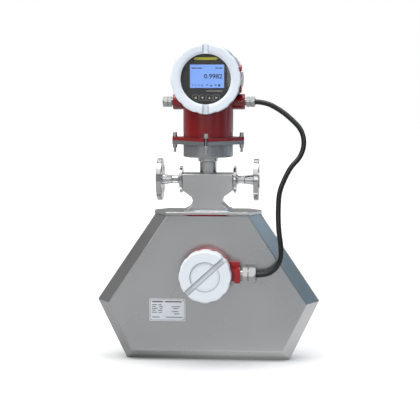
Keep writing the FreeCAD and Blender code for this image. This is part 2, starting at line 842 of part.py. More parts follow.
def ear_plate(body, name, height, thickness):
    """A square plate turned to a diamond, with rounded corners."""
    sketch = sketch_on(body, "XY_Plane", name, height)
    corner = "ear_half_side * sqrt(2)"
    add_outline(sketch, [("0", f"-{corner}"), (corner, "0"), ("0", corner), (f"-{corner}", "0")])
    plate = pad(body, sketch, thickness)
    reach = size("ear_half_side") * math.sqrt(2)

    def tip(edge):
        box = edge.BoundBox
        return upright(edge) and abs(math.hypot(box.Center.x, box.Center.y) - reach) < 0.01

    return rounded(body, plate, "ear_corner_radius", tip, name + "_corners")


def clamp_slots(body, name, height, depth):
    """Slots for the clamp bolts, open outwards, one at each corner of the plate."""
    sketch = sketch_on(body, "XY_Plane", name, height)
    add_circle(sketch, "clamp_circle_radius", "0", "clamp_slot_half_width")
    seat = pocket(body, sketch, depth)
    sketch = sketch_on(body, "XY_Plane", name + "_mouth", height)
    add_outline(sketch, rectangle("ear_half_side / 2", "clamp_slot_half_width", "0",
                                  "clamp_circle_radius + ear_half_side / 2"))
    mouth = pocket(body, sketch, depth)
    axis = [item for item in body.Origin.OriginFeatures if item.Role == "Z_Axis"][0]
    pattern = body.newObject("PartDesign::PolarPattern", name + "_around")
    pattern.Originals = [seat, mouth]
    pattern.Axis = (axis, [""])
    pattern.Angle = 360
    pattern.Occurrences = 4
    body.Tip = pattern
    return pattern


def cord_ring(label, centre_radius, rotation=UP, across="0", along="0", up="0"):
    """A rubber ring, its round wire drawn with eight sides."""
    section = []
    for turn_angle in range(0, 360, 45):
        section.append((f"{centre_radius} + cord_ring_wire_radius * cos({turn_angle} + 22.5)",
                        f"cord_ring_wire_radius * sin({turn_angle} + 22.5)"))
    return turned(label, section, rotation, across, along, up)


def ring_groove(centre_radius, mouth):
    """The section of a groove that opens at the given height and holds a rubber ring."""
    room = "(cord_ring_wire_radius + cord_ring_gap)"
    return ring_section(f"{centre_radius} - {room}", f"{centre_radius} + {room}", f"{mouth} - 2 * {room}",
                        f"{mouth} + 1")


adapter = new_body("adapter_housing")
drum_bottom = turn(adapter, [
    ("0", "0"),
    ("adapter_radius", "0"),
    ("adapter_radius", "adapter_height"),
    ("0", "adapter_height"),
], "adapter_section")
rounded(adapter, drum_bottom, "adapter_edge_radius",
        level_circle(size("adapter_radius"), 0), "adapter_lower_edge")
ear_plate(adapter, "adapter_ears", "adapter_height", "ear_thickness")
clamp_slots(adapter, "adapter_slots", "adapter_height + ear_thickness", "ear_thickness")
turn(adapter, ring_section("0", "adapter_radius - adapter_wall", "adapter_wall",
                           "adapter_height + ear_thickness + 1"), "adapter_room", cut=True)
turn(adapter, ring_groove("adapter_radius - adapter_wall / 2", "adapter_height + ear_thickness"),
     "adapter_ring_groove", cut=True)
piece(place(adapter, UP, up=NECK_TOP), "adapter_housing")


cord_ring("adapter_o_ring", "adapter_radius - adapter_wall / 2", UP, "0", "0",
          f"{ADAPTER_TOP} - cord_ring_wire_radius")

# Clamp bolts with their washers and nuts, one set at each ear

WASHER_STACK = "(washer_thickness + spring_washer_thickness)"
bolts, nuts, washers, spring_washers = [], [], [], []
CLAMP_PLACES = (
    ("outlet", "clamp_circle_radius", "0"),
    ("rear", "0", "clamp_circle_radius"),
    ("inlet", "-clamp_circle_radius", "0"),
    ("front", "0", "-clamp_circle_radius"),
)
EAR_STACK = "(ear_thickness + housing_ear_thickness)"
BOLT_REACH = f"({EAR_STACK} + 2 * {WASHER_STACK} + nut_height + bolt_tail)"
for name, across, along in CLAMP_PLACES:
    bolt = new_body(name + "_clamp_bolt")
    turn(bolt, [
        ("0", f"-{BOLT_REACH}"),
        ("bolt_radius", f"-{BOLT_REACH}"),
        ("bolt_radius", "0"),
        ("bolt_head_radius", "0"),
        ("bolt_head_radius", "bolt_head_height"),
        ("0", "bolt_head_height"),
    ], name + "_bolt_section")
    socket = sketch_on(bolt, "XY_Plane", name + "_bolt_socket", "bolt_head_height")
    add_outline(socket, hexagon("bolt_socket_radius"))
    pocket(bolt, socket, "bolt_socket_depth")
    bolts.append(place(bolt, UP, across, along, f"{HEAD_EAR_TOP} + {WASHER_STACK}"))
    nut = new_body(name + "_clamp_nut")
    flats = sketch_on(nut, "XY_Plane", name + "_nut_outline")
    add_outline(flats, hexagon("nut_half_width"))
    add_circle(flats, "0", "0", "bolt_radius")
    pad(nut, flats, "nut_height")
    under = f"{HEAD_EAR_TOP} - {EAR_STACK} - {WASHER_STACK}"
    nuts.append(place(nut, UP, across, along, f"{under} - nut_height"))
    for level, low, spring_low in (
        ("upper", HEAD_EAR_TOP, f"{HEAD_EAR_TOP} + washer_thickness"),
        ("lower", f"{under} + spring_washer_thickness", under),
    ):
        for kind, outer, thick, start, kept in (
            ("washer", "washer_radius", "washer_thickness", low, washers),
            ("spring_washer", "spring_washer_radius", "spring_washer_thickness", spring_low, spring_washers),
        ):
            ring = new_body(f"{name}_{level}_{kind}")
            turn(ring, ring_section("bolt_radius", outer, "0", thick), f"{name}_{level}_{kind}_section")
            kept.append(place(ring, UP, across, along, start))
group("clamp_bolts", bolts)
group("clamp_nuts", nuts)
group("clamp_washers", washers)
group("spring_washers", spring_washers)

# Transmitter housing: one casting of ears, neck, drum, two cable bosses and a side pad

head_ears = new_body("head_ears")
ear_plate(head_ears, "head_ear_plate", "0", "housing_ear_thickness")
clamp_slots(head_ears, "head_slots", "housing_ear_thickness", "housing_ear_thickness")
place(head_ears, UP, up=ADAPTER_TOP)

side_pad = new_body("side_pad")
pad_face = sketch_on(side_pad, "YZ_Plane", "side_pad_face")
add_outline(pad_face, rectangle("side_pad_depth / 2", "side_pad_height / 2", "drum_height"))
side_pad_solid = pad(side_pad, pad_face, "side_pad_reach")
rounded(side_pad, side_pad_solid, "side_pad_corner_radius",
        lambda edge: edge.BoundBox.XLength > 1, "side_pad_corners")

gland_bosses = new_body("gland_bosses")
boss_section = sketch_on(gland_bosses, "YZ_Plane", "boss_section")
add_circle(boss_section, "gland_boss_rear_depth", "gland_axis_height", "gland_boss_radius")
boss_solid = pad(gland_bosses, boss_section, "2 * gland_boss_reach", symmetric=True)
rounded(gland_bosses, boss_solid, "junction_boss_edge_radius / 2",
        lambda edge: edge.BoundBox.XLength < 0.001, "boss_ends")

drum = new_body("drum")
drum_solid = turn(drum, [
    ("0", "-drum_half_length - drum_spigot_length"),
    ("drum_spigot_radius", "-drum_half_length - drum_spigot_length"),
    ("drum_spigot_radius", "-drum_half_length"),
    ("drum_radius", "-drum_half_length"),
    ("drum_radius", "drum_half_length"),
    ("drum_spigot_radius", "drum_half_length"),
    ("drum_spigot_radius", "drum_half_length + drum_spigot_length"),
    ("0", "drum_half_length + drum_spigot_length"),
], "drum_section")
place(drum, TO_FRONT, up="drum_height")

head_neck = cylinder("head_neck", "housing_neck_radius", f"drum_height - {ADAPTER_TOP}", UP,
                     "0", "0", ADAPTER_TOP)
casting = fused("head_casting", [head_ears, side_pad, gland_bosses, drum, head_neck])

front_room = cylinder("front_room", "drum_bore_radius",
                      "drum_bulkhead_front + drum_half_length + drum_spigot_length + 1",
                      TO_FRONT, "0", "drum_bulkhead_front", "drum_height")
rear_room = cylinder("rear_room", "drum_bore_radius",
                     "drum_half_length + drum_spigot_length + 1 - drum_bulkhead_rear",
                     TO_REAR, "0", "drum_bulkhead_rear", "drum_height")
neck_room = cylinder("neck_room", "housing_neck_bore_radius", "housing_neck_bore_height + 1", UP,
                     "0", "0", f"{ADAPTER_TOP} - 1")
wire_way = cylinder("wire_way", "housing_neck_bore_radius / 4", "drum_bore_radius", UP,
                    "0", "-drum_bore_radius / 2", "drum_height - drum_bore_radius * 3 / 2")
entries = cylinder("gland_entries", "gland_entry_radius", "2 * gland_boss_reach + 2", TO_OUTLET,
                   "-gland_boss_reach - 1", "gland_boss_rear_depth", "gland_axis_height")
grooves = []
for name, facing in (("front", TO_FRONT), ("rear", TO_REAR)):
    groove = new_body(name + "_ring_groove")
    turn(groove, ring_groove("drum_spigot_radius + cord_ring_inset", "drum_half_length"),
         name + "_ring_groove_section")
    grooves.append(place(groove, facing, up="drum_height"))
hollows = fused("head_hollows", [front_room, rear_room, neck_room, wire_way, entries] + grooves)
piece(cut("head_housing", casting, hollows), "transmitter_housing")

# Screw covers of the head; heights run outwards from the middle of the drum

COVER_SEAT = "(drum_half_length + cover_seat_gap)"
COVER_BORE = "(drum_spigot_radius + cover_thread_gap)"
COVER_SHOULDER = "(drum_half_length + drum_spigot_length + cover_thread_room)"
GLASS_FRONT = "(cover_front_depth - cover_lip_thickness)"
GLASS_BACK = "(cover_front_depth - cover_lip_thickness - glass_thickness)"


def scalloped(body, name, radius, scallop, depth, front, length, count, first):
    """Shallow scallops round a cover's rim, with lobes left between them."""
    sketch = sketch_on(body, "XY_Plane", name, front)
    reach = f"({radius} + {scallop} - {depth})"
    add_circle(sketch, f"{reach} * cos({first})", f"{reach} * sin({first})", scallop)
    return around(body, pocket(body, sketch, length), count)


def front_rim(radius, scallop_depth, height):
    """Tests for the edges of a scalloped front rim."""
    def test(edge):
        box = edge.BoundBox
        middle = edge.valueAt((edge.FirstParameter + edge.LastParameter) / 2)
        flat = abs(box.ZMin - height) < 0.01 and abs(box.ZMax - height) < 0.01
        return flat and math.hypot(middle.x, middle.y) > radius - scallop_depth - 0.5
    return test


def screw_cover(label, section, facing, notch_depth="cover_notch_depth"):
    body = new_body(label)
    turn(body, section, label + "_section")
    rim = scalloped(body, label + "_scallops", "cover_radius", "cover_scallop_radius", "cover_scallop_depth",
                    "cover_front_depth + 1", f"cover_front_depth + 2 - {COVER_SEAT}", "cover_lobe_count",
                    "180 / cover_lobe_count")
    rim_edges = front_rim(size("cover_radius"), size("cover_scallop_depth"), size("cover_front_depth"))
    rounded(body, rim, "cover_edge_radius", rim_edges, label + "_rim_edge")
    notch = sketch_on(body, "XY_Plane", label + "_notch", "cover_front_depth")
    add_outline(notch, rectangle("cover_notch_half_width", "cover_radius + 2"))
    pocket(body, notch, notch_depth)
    place(body, facing, up="drum_height")
    return piece(body, label)


screw_cover("display_cover", [
    (COVER_BORE, COVER_SEAT),
    ("cover_radius", COVER_SEAT),
    ("cover_radius", "cover_front_depth"),
    ("cover_window_radius + cover_bevel_width", "cover_front_depth"),
    ("cover_window_radius", "cover_front_depth - cover_bevel_depth"),
    ("cover_window_radius", GLASS_FRONT),
    ("glass_radius + glass_gap", GLASS_FRONT),
    ("glass_radius + glass_gap", GLASS_BACK),
    ("glass_radius + 2", GLASS_BACK),
    ("glass_radius + 2", COVER_SHOULDER),
    (COVER_BORE, COVER_SHOULDER),
], TO_FRONT)

turned("display_window", ring_section("0", "glass_radius", GLASS_BACK, GLASS_FRONT), TO_FRONT,
       "0", "0", "drum_height")
turned("window_retaining_ring",
       ring_section("retaining_ring_inner_radius", "glass_radius + 2 - glass_gap",
                    f"{GLASS_BACK} - retaining_ring_depth", GLASS_BACK), TO_FRONT, "0", "0", "drum_height")

screw_cover("rear_cover", [
    ("0", GLASS_BACK),
    ("drum_bore_radius", GLASS_BACK),
    ("drum_bore_radius", COVER_SHOULDER),
    (COVER_BORE, COVER_SHOULDER),
    (COVER_BORE, COVER_SEAT),
    ("cover_radius", COVER_SEAT),
    ("cover_radius", "cover_front_depth"),
    ("rear_recess_radius", "cover_front_depth"),
    ("rear_recess_radius - rear_recess_depth", "cover_front_depth - rear_recess_depth"),
    ("0", "cover_front_depth - rear_recess_depth"),
], TO_REAR)

for label, facing, along in (
    ("display_cover_o_ring", TO_FRONT, "-drum_half_length + cord_ring_wire_radius"),
    ("rear_cover_o_ring", TO_REAR, "drum_half_length - cord_ring_wire_radius"),
):
    cord_ring(label, "drum_spigot_radius + cord_ring_inset", facing, "0", along, "drum_height")

# Display stack: electronics pot on the bulkhead, board, panel, face plate and keys

bezel = new_body("display_bezel")
bezel_back = "(bezel_front_depth - bezel_thickness)"
turn(bezel, [
    ("0", bezel_back),
    ("bezel_radius", bezel_back),
    ("bezel_radius", "bezel_front_depth + bezel_rim_height"),
    ("bezel_radius - bezel_rim_width", "bezel_front_depth + bezel_rim_height"),
    ("bezel_radius - bezel_rim_width", "bezel_front_depth"),
    ("0", "bezel_front_depth"),
], "bezel_section")
posts = sketch_on(bezel, "XY_Plane", "bezel_posts", bezel_back)
add_circle(posts, "post_circle_radius", "0", "post_radius")
around(bezel, pad(bezel, posts, f"{bezel_back} - board_front_depth", backwards=True), "4")
window = sketch_on(bezel, "XY_Plane", "bezel_window", "bezel_front_depth + bezel_rim_height")
add_outline(window, rectangle("lcd_half_width", "lcd_half_height", "lcd_up", "lcd_across"))
pocket(bezel, window, "bezel_thickness + bezel_rim_height + 1")
KEY_COUNT = 4
KEY_PLACES = [f"({number} - {KEY_COUNT - 1} / 2) * key_spacing" for number in range(KEY_COUNT)]
key_holes = sketch_on(bezel, "XY_Plane", "bezel_key_holes", "bezel_front_depth + bezel_rim_height")
for across in KEY_PLACES:
    add_circle(key_holes, across, "-key_drop", "key_radius + glass_gap")
pocket(bezel, key_holes, "bezel_thickness + bezel_rim_height + 1")
piece(place(bezel, TO_FRONT, up="drum_height"), "display_bezel")

panel = new_body("lcd_panel")
panel_face = sketch_on(panel, "XY_Plane", "lcd_face", "board_front_depth")
add_outline(panel_face, rectangle("lcd_half_width - glass_gap", "lcd_half_height - glass_gap",
                                  "lcd_up", "lcd_across"))
pad(panel, panel_face, "bezel_front_depth - lcd_recess - board_front_depth")
piece(place(panel, TO_FRONT, up="drum_height"), "lcd_panel")

keys = []
for number, across in enumerate(KEY_PLACES, start=1):
    keys.append(cylinder(f"key_{number}", "key_radius", "bezel_front_depth + key_proud - board_front_depth",
                         TO_FRONT, across, "-board_front_depth", "drum_height - key_drop"))
group("optical_keys", keys)

BOARD_BACK = "(board_front_depth - board_thickness)"
turned("display_board", ring_section("0", "board_radius", BOARD_BACK, "board_front_depth"), TO_FRONT,
       "0", "0", "drum_height")

module = new_body("electronics_module")
module_solid = turn(module, ring_section("0", "module_radius", "-drum_bulkhead_front", "module_front_depth"),
                    "module_section")
module_rim = level_circle(size("module_radius"), size("module_front_depth"))
rounded(module, module_solid, "post_radius / 2", module_rim, "module_edge")
module_posts = sketch_on(module, "XY_Plane", "module_posts", "module_front_depth")
add_circle(module_posts, "module_post_circle_radius", "0", "post_radius")
around(module, pad(module, module_posts, f"{BOARD_BACK} - module_front_depth"), "4")
piece(place(module, TO_FRONT, up="drum_height"), "electronics_module")

# Rear compartment: terminal block on the bulkhead, with a row of clamp screws

terminals = new_body("terminal_block")
terminal_face = sketch_on(terminals, "XY_Plane", "terminal_face", "drum_bulkhead_rear")
add_outline(terminal_face, rectangle("terminal_half_width", "terminal_half_height"))
terminal_solid = pad(terminals, terminal_face, "terminal_depth")
rounded(terminals, terminal_solid, "glass_gap * 15", upright, "terminal_corners")
TERMINAL_PITCH = "(2 * terminal_half_width / terminal_count)"
wire_slots = sketch_on(terminals, "XY_Plane", "terminal_wire_slots", "drum_bulkhead_rear + terminal_depth")
screws = []
for number in range(int(size("terminal_count"))):
    across = f"({number} + 0.5) * {TERMINAL_PITCH} - terminal_half_width"
    add_outline(wire_slots, rectangle("terminal_screw_radius * 0.9", "terminal_screw_radius / 2",
                                      "-terminal_half_height * 0.6", across))
    screws.append(cylinder(f"terminal_screw_{number + 1}", "terminal_screw_radius", "terminal_screw_height",
                           TO_REAR, across, "drum_bulkhead_rear + terminal_depth",
                           "drum_height + terminal_half_height * 0.3"))
pocket(terminals, wire_slots, "terminal_depth / 2")
piece(place(terminals, TO_REAR, up="drum_height"), "terminal_block")
group("terminal_screws", screws)

plate = new_body("side_plate")
side_face = sketch_on(plate, "YZ_Plane", "side_plate_face")
add_outline(side_face, rectangle("side_plate_depth / 2", "side_plate_height / 2"))
side_solid = pad(plate, side_face, "side_plate_thickness")
rounded(plate, side_solid, "side_pad_corner_radius / 2", lambda edge: edge.BoundBox.XLength > 1,
        "side_plate_corners")
piece(place(plate, UP, "side_pad_reach", "0", "drum_height"), "side_plate")

# Cable glands: body in the housing's entry, hexagon nut with a domed mouth, and a rubber seal

def gland(prefix, scale, facing, across, along, up, plugged=False):
    def part(name):
        return f"{prefix}_gland_{name}"

    washer_end = f"({scale} * gland_washer_thickness)"
    hex_end = f"({scale} * (gland_washer_thickness + gland_hex_length))"
    nut_start = f"({scale} * (gland_washer_thickness + gland_hex_length + gland_groove_length))"
    nut_end = f"({nut_start} + {scale} * gland_nut_length)"
    neck_end = f"({scale} * gland_neck_end)"
    flats = f"{scale} * gland_half_flats"
    body = new_body(part("body"))
    turn(body, [
        ("gland_wire_radius", f"-{scale} * gland_shank_length"),
        ("gland_entry_radius - gland_entry_gap", f"-{scale} * gland_shank_length"),
        ("gland_entry_radius - gland_entry_gap", "0"),
        (f"{scale} * gland_washer_radius", "0"),
        (f"{scale} * gland_washer_radius", washer_end),
        (f"{scale} * gland_groove_radius", washer_end),
        (f"{scale} * gland_groove_radius", neck_end),
        ("gland_wire_radius", neck_end),
    ], part("body_section"))
    collar = sketch_on(body, "XY_Plane", part("body_flats"), washer_end)
    add_outline(collar, hexagon(flats))
    add_circle(collar, "0", "0", f"{scale} * gland_groove_radius - 1")
    pad(body, collar, f"{hex_end} - {washer_end}")
    piece(place(body, facing, across, along, up), part("body"))

    nut_body = new_body(part("nut"))
    outline = sketch_on(nut_body, "XY_Plane", part("nut_flats"), nut_start)
    add_outline(outline, hexagon(flats))
    pad(nut_body, outline, f"{nut_end} - {nut_start}")
    turn(nut_body, [
        (f"{flats}", nut_end),
        (f"{flats} * 1.3", nut_end),
        (f"{flats} * 1.3", f"{nut_end} - {scale} * gland_dome_length"),
        (f"{flats} / cos(30)", f"{nut_end} - {scale} * gland_dome_length"),
        (f"{flats} / cos(30) - {scale} * gland_dome_length / 4",
         f"{nut_end} - {scale} * gland_dome_length / 3"),
    ], part("nut_dome"), cut=True)
    turn(nut_body, [
        ("0", f"{nut_start} - 1"),
        (f"{scale} * gland_groove_radius + gland_entry_gap", f"{nut_start} - 1"),
        (f"{scale} * gland_groove_radius + gland_entry_gap", f"{neck_end} + gland_nut_room"),
        (f"{scale} * gland_mouth_radius", f"{neck_end} + gland_nut_room"),
        (f"{scale} * gland_mouth_radius", f"{nut_end} + 1"),
        ("0", f"{nut_end} + 1"),
    ], part("nut_bore"), cut=True)
    piece(place(nut_body, facing, across, along, up), part("nut"))

    seal_end = f"({nut_end} + gland_seal_proud)"
    if plugged:
        turned(part("plug"), ring_section("0", f"{scale} * gland_mouth_radius - gland_entry_gap",
                                          neck_end, seal_end), facing, across, along, up)
    else:
        turned(part("seal"), ring_section("cable_radius + cable_grip_gap",
                                          f"{scale} * gland_mouth_radius - gland_entry_gap",
                                          neck_end, seal_end), facing, across, along, up)


gland("upper", "1", TO_OUTLET, "gland_boss_reach", "gland_boss_rear_depth", "gland_axis_height")
gland("spare", "1", TO_INLET, "-gland_boss_reach", "gland_boss_rear_depth", "gland_axis_height",
      plugged=True)
gland("lower", "lower_gland_scale", TO_OUTLET, "junction_boss_reach", "-lower_gland_depth",
      "lower_gland_height")

# Junction box on the case: round base with a cable boss, and a notched screw cover

junction_drum = new_body("junction_drum")
turn(junction_drum, [
    ("0", "case_half_depth"),
    ("junction_radius", "case_half_depth"),
    ("junction_radius", "junction_shoulder_depth"),
    ("junction_spigot_radius", "junction_shoulder_depth"),
    ("junction_spigot_radius", "junction_spigot_depth"),
    ("0", "junction_spigot_depth"),
], "junction_section")
place(junction_drum, TO_FRONT, up="junction_height")


def soft_block(name, outline, front, back, radius):
    """A block that faces the front, with rounded edges front to back."""
    body = new_body(name)
    sketch = sketch_on(body, "XZ_Plane", name + "_outline", front)
    add_outline(sketch, outline)
    solid = pad(body, sketch, f"{front} - {back}", backwards=True)
    rounded(body, solid, radius, lambda edge: edge.BoundBox.YLength > 1, name + "_edges")
    return body


boss_low = "(lower_gland_height - junction_boss_half_height)"
boss_high = "(lower_gland_height + junction_boss_half_height)"
front_boss = soft_block("junction_boss", [
    ("junction_boss_start", boss_low),
    ("junction_boss_reach", boss_low),
    ("junction_boss_reach", boss_high),
    ("junction_boss_start", boss_high),
], "junction_boss_front_depth", "junction_boss_back_depth", "junction_boss_edge_radius")
rear_boss = soft_block("junction_rear_boss", [
    ("junction_bore_radius + 2", boss_low),
    ("junction_shoulder_reach", boss_low),
    ("junction_shoulder_reach", "junction_shoulder_top"),
    ("junction_bore_radius + 2", "junction_shoulder_top"),
], "junction_boss_back_depth", "case_half_depth", "junction_boss_edge_radius")
link_boss = block("junction_boss_link", "junction_boss_reach - junction_bore_radius - 8",
                  "junction_shoulder_depth - case_half_depth - junction_boss_edge_radius",
                  "2 * junction_boss_half_height - 2 * junction_boss_edge_radius",
                  "junction_bore_radius + 2", "-junction_shoulder_depth",
                  "lower_gland_height - junction_boss_half_height + junction_boss_edge_radius")
junction_room = cylinder("junction_room", "junction_bore_radius",
                         "junction_spigot_depth - case_half_depth - junction_floor_thickness + 1", TO_FRONT,
                         "0", "-case_half_depth - junction_floor_thickness", "junction_height")
junction_entry = cylinder("junction_entry", "gland_entry_radius", "junction_boss_reach", TO_OUTLET,
                          "junction_bore_radius / 2", "-lower_gland_depth", "lower_gland_height")
wire_hole = cylinder("junction_wire_hole", "feedthrough_radius", "junction_floor_thickness * 3", TO_FRONT,
                     "0", "-case_half_depth + junction_floor_thickness", "junction_height")
JUNCTION_RING = "((junction_spigot_radius + junction_radius) / 2)"
junction_groove = new_body("junction_ring_groove")
turn(junction_groove, ring_groove(JUNCTION_RING, "junction_shoulder_depth"), "junction_groove_section")
place(junction_groove, TO_FRONT, up="junction_height")
junction_solid = fused("junction_casting", [junction_drum, front_boss, rear_boss, link_boss])
junction_hollow = fused("junction_hollows", [junction_room, junction_entry, wire_hole, junction_groove])
piece(cut("junction_housing", junction_solid, junction_hollow), "junction_base")

cord_ring("junction_o_ring", JUNCTION_RING, TO_FRONT, "0", "-junction_shoulder_depth + cord_ring_wire_radius",
          "junction_height")

junction_cover = new_body("junction_cover")
JUNCTION_SEAT = "(junction_shoulder_depth + cover_seat_gap)"
JUNCTION_CEILING = "(junction_cover_front_depth - junction_cover_web)"
turn(junction_cover, [
    ("0", JUNCTION_CEILING),
    ("junction_spigot_radius + cover_thread_gap", JUNCTION_CEILING),
    ("junction_spigot_radius + cover_thread_gap", JUNCTION_SEAT),
    ("junction_cover_radius", JUNCTION_SEAT),
    ("junction_cover_radius", "junction_cover_front_depth"),
    ("junction_recess_radius", "junction_cover_front_depth"),
    ("junction_recess_radius", "junction_cover_front_depth - junction_recess_depth"),
    ("0", "junction_cover_front_depth - junction_recess_depth"),
], "junction_cover_section")
cover_rim = scalloped(junction_cover, "junction_scallops", "junction_cover_radius",
                      "junction_cover_scallop_radius", "junction_cover_scallop_depth",
                      "junction_cover_front_depth + 1", f"junction_cover_front_depth + 2 - {JUNCTION_SEAT}",
                      "junction_cover_lobe_count", "180 / junction_cover_lobe_count")
rounded(junction_cover, cover_rim, "junction_cover_edge_radius",
        front_rim(size("junction_cover_radius"), size("junction_cover_scallop_depth"),
                  size("junction_cover_front_depth")), "junction_rim_edge")
bar_notch = sketch_on(junction_cover, "XY_Plane", "junction_notch", "junction_cover_front_depth")
half_bar = "(junction_cover_radius + 2)"
notch_corners = []
for run, rise in ((1, -1), (1, 1), (-1, 1), (-1, -1)):
    along_bar = f"{run} * {half_bar}"
    over_bar = f"{rise} * junction_notch_half_width"
    notch_corners.append((
        f"{along_bar} * cos(junction_notch_angle) - {over_bar} * sin(junction_notch_angle)",
        f"{along_bar} * sin(junction_notch_angle) + {over_bar} * cos(junction_notch_angle)",
    ))
add_outline(bar_notch, notch_corners)
pocket(junction_cover, bar_notch, "junction_notch_depth")
piece(place(junction_cover, TO_FRONT, up="junction_height"), "junction_cover")

strip = new_body("junction_terminals")
strip_face = sketch_on(strip, "XY_Plane", "junction_terminal_face",
                       "case_half_depth + junction_floor_thickness")
strip_up = "(feedthrough_radius + junction_terminal_half_height + 2)"
add_outline(strip_face, rectangle("junction_terminal_half_width", "junction_terminal_half_height", strip_up))
strip_solid = pad(strip, strip_face, "junction_terminal_depth")
strip_slots = sketch_on(strip, "XY_Plane", "junction_terminal_slots",
                        "case_half_depth + junction_floor_thickness + junction_terminal_depth")
for step in (-2, -1, 0, 1, 2):
    add_circle(strip_slots, f"{step} * junction_terminal_half_width / 2.6", strip_up, "terminal_screw_radius")
pocket(strip, strip_slots, "terminal_screw_height")
piece(place(strip, TO_FRONT, up="junction_height"), "junction_terminals")

turned("junction_feedthrough",
       ring_section("0", "feedthrough_radius - glass_gap", "case_half_depth - case_wall",
                    "case_half_depth + junction_floor_thickness + feedthrough_proud"),
       TO_FRONT, "0", "0", "junction_height")

# Cable from the head's gland down to the junction box: control points of its route

CABLE_ROUTE = (
    (104, 28, 608.8), (132, 28, 608.8), (169.3, 25, 589), (195.4, 17, 568), (218.7, 8, 544), (226, -3, 512),
    (216.2, -15, 481), (194.5, -26, 460), (179.6, -36, 432), (167.7, -47, 402), (165.8, -56, 370),
    (166, -63, 339), (168, -68, 309), (172.8, -71.3, 280), (173.6, -72, 250), (160.2, -72, 225.2),
    (137, -72, 211.5), (108.5, -72, 211.5),
)
CABLE_BEND_SHARE = 0.45
route = [Vector(*point) for point in CABLE_ROUTE]
cable_radii = []
for before, corner, after in zip(route, route[1:], route[2:]):
    shorter = min(before.distanceToPoint(corner), corner.distanceToPoint(after))
    half_turn = (corner - before).getAngle(after - corner) / 2
    cable_radii.append(CABLE_BEND_SHARE * shorter / math.tan(half_turn))
cable_path = rounded_path(route, cable_radii)
cable = doc.addObject("Part::Feature", "interconnect_cable_tube")
cable.Shape = swept("interconnect_cable", cable_path, size("cable_radius"))
piece(cable, "interconnect_cable")

# Checks on the finished model

doc.recompute()
section_area = math.pi * size("cable_radius") ** 2
print("cable bend radii:", [round(radius, 1) for radius in cable_radii])
print("cable length:", round(cable_path.Length, 1), "volume over section times length:",
      round(cable.Shape.Volume / (section_area * cable_path.Length), 4))
faults = [item.Name for item in doc.Objects if "Invalid" in item.State or "Error" in item.State]
for item in PIECES:
    if item.Shape.isNull() or not item.Shape.isValid():
        faults.append(item.Label)
if faults:
    raise RuntimeError("these objects failed: " + ", ".join(faults))

for item in PIECES:
    item.Shape.exportStep(f"parts/{item.Label}.step")
print("pieces:", len(PIECES))
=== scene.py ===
# %% [markdown]
# # A coriolis flow meter in a photo studio
#
# The meter hangs a pair of vibrating tubes in a bevelled steel case. A bow-tie block carries the pipe
# flanges, and a red painted head with a display stands on top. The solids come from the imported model, so
# every size is already right. This lesson gives them their finishes, softens their edges, adds the small
# things that a solid model leaves out, and lights the whole like a catalogue picture.

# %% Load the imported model
import json
import math

import bmesh
import bpy
from mathutils import Matrix, Vector


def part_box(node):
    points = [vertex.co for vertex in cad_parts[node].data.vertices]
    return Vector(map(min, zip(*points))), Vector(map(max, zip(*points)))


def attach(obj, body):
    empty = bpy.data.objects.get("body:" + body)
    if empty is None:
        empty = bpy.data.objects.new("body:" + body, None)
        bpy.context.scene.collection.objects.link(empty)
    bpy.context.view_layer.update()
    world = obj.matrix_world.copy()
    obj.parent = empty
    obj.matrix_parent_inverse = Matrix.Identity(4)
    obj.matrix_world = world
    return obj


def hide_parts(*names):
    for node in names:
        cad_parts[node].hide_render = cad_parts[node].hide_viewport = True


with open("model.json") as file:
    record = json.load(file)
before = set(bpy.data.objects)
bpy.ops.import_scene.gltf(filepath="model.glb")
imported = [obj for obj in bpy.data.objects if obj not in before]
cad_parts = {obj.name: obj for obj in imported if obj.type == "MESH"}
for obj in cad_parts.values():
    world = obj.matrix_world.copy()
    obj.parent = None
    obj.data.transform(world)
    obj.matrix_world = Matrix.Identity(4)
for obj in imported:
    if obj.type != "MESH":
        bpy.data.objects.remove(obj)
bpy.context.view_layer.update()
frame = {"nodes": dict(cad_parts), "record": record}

MM = 0.001
PIPE_UP = 427.0
nodes = frame["nodes"]

# %% [markdown]
# ## The camera
#
# A catalogue picture is taken from a few metres away with a long lens, so that the case does not look
# stretched. The lens stands a little to the right of the meter, level with the head, and tilts down. The
# camera could be aimed by typing in angles. Aiming it at a point is easier to read and to correct.

# %% Put up the camera
CAMERA_DISTANCE = 2.914
CAMERA_YAW = math.radians(4.0)
CAMERA_HEIGHT = 0.671
CAMERA_TILT = math.radians(6.2)
AIM_ACROSS = 0.004
LENS_LENGTH = 106.3

camera_data = bpy.data.cameras.new("camera")
camera_data.lens = LENS_LENGTH
camera = bpy.data.objects.new("camera", camera_data)
bpy.context.scene.collection.objects.link(camera)
camera.location = (
    CAMERA_DISTANCE * math.sin(CAMERA_YAW),
    -CAMERA_DISTANCE * math.cos(CAMERA_YAW),
    CAMERA_HEIGHT,
)
aim = Vector((AIM_ACROSS, 0, CAMERA_HEIGHT - CAMERA_DISTANCE * math.tan(CAMERA_TILT)))
camera.rotation_euler = (aim - camera.location).to_track_quat("-Z", "Y").to_euler()
bpy.context.scene.camera = camera
print("camera at", [round(v, 3) for v in camera.location], "aimed at", [round(v, 3) for v in aim])

# %% [markdown]
# ## Helpers for materials
#
# Every finish starts from the Principled shader. A value that is the same all over is typed straight into
# its socket, and only what changes over the surface gets nodes. Effects that several finishes share are
# node groups, so a grain or a smudge is drawn once and used with other numbers.

# %% Start a material
def new_material(name, colour, roughness, metallic=0.0, **sockets):
    material = bpy.data.materials.new(name)
    material.use_nodes = True
    shader = material.node_tree.nodes["Principled BSDF"]
    shader.inputs["Base Color"].default_value = (*colour, 1.0)
    shader.inputs["Roughness"].default_value = roughness
    shader.inputs["Metallic"].default_value = metallic
    for socket, value in sockets.items():
        shader.inputs[socket.replace("_", " ").title().replace("Ior", "IOR")].default_value = value
    return material


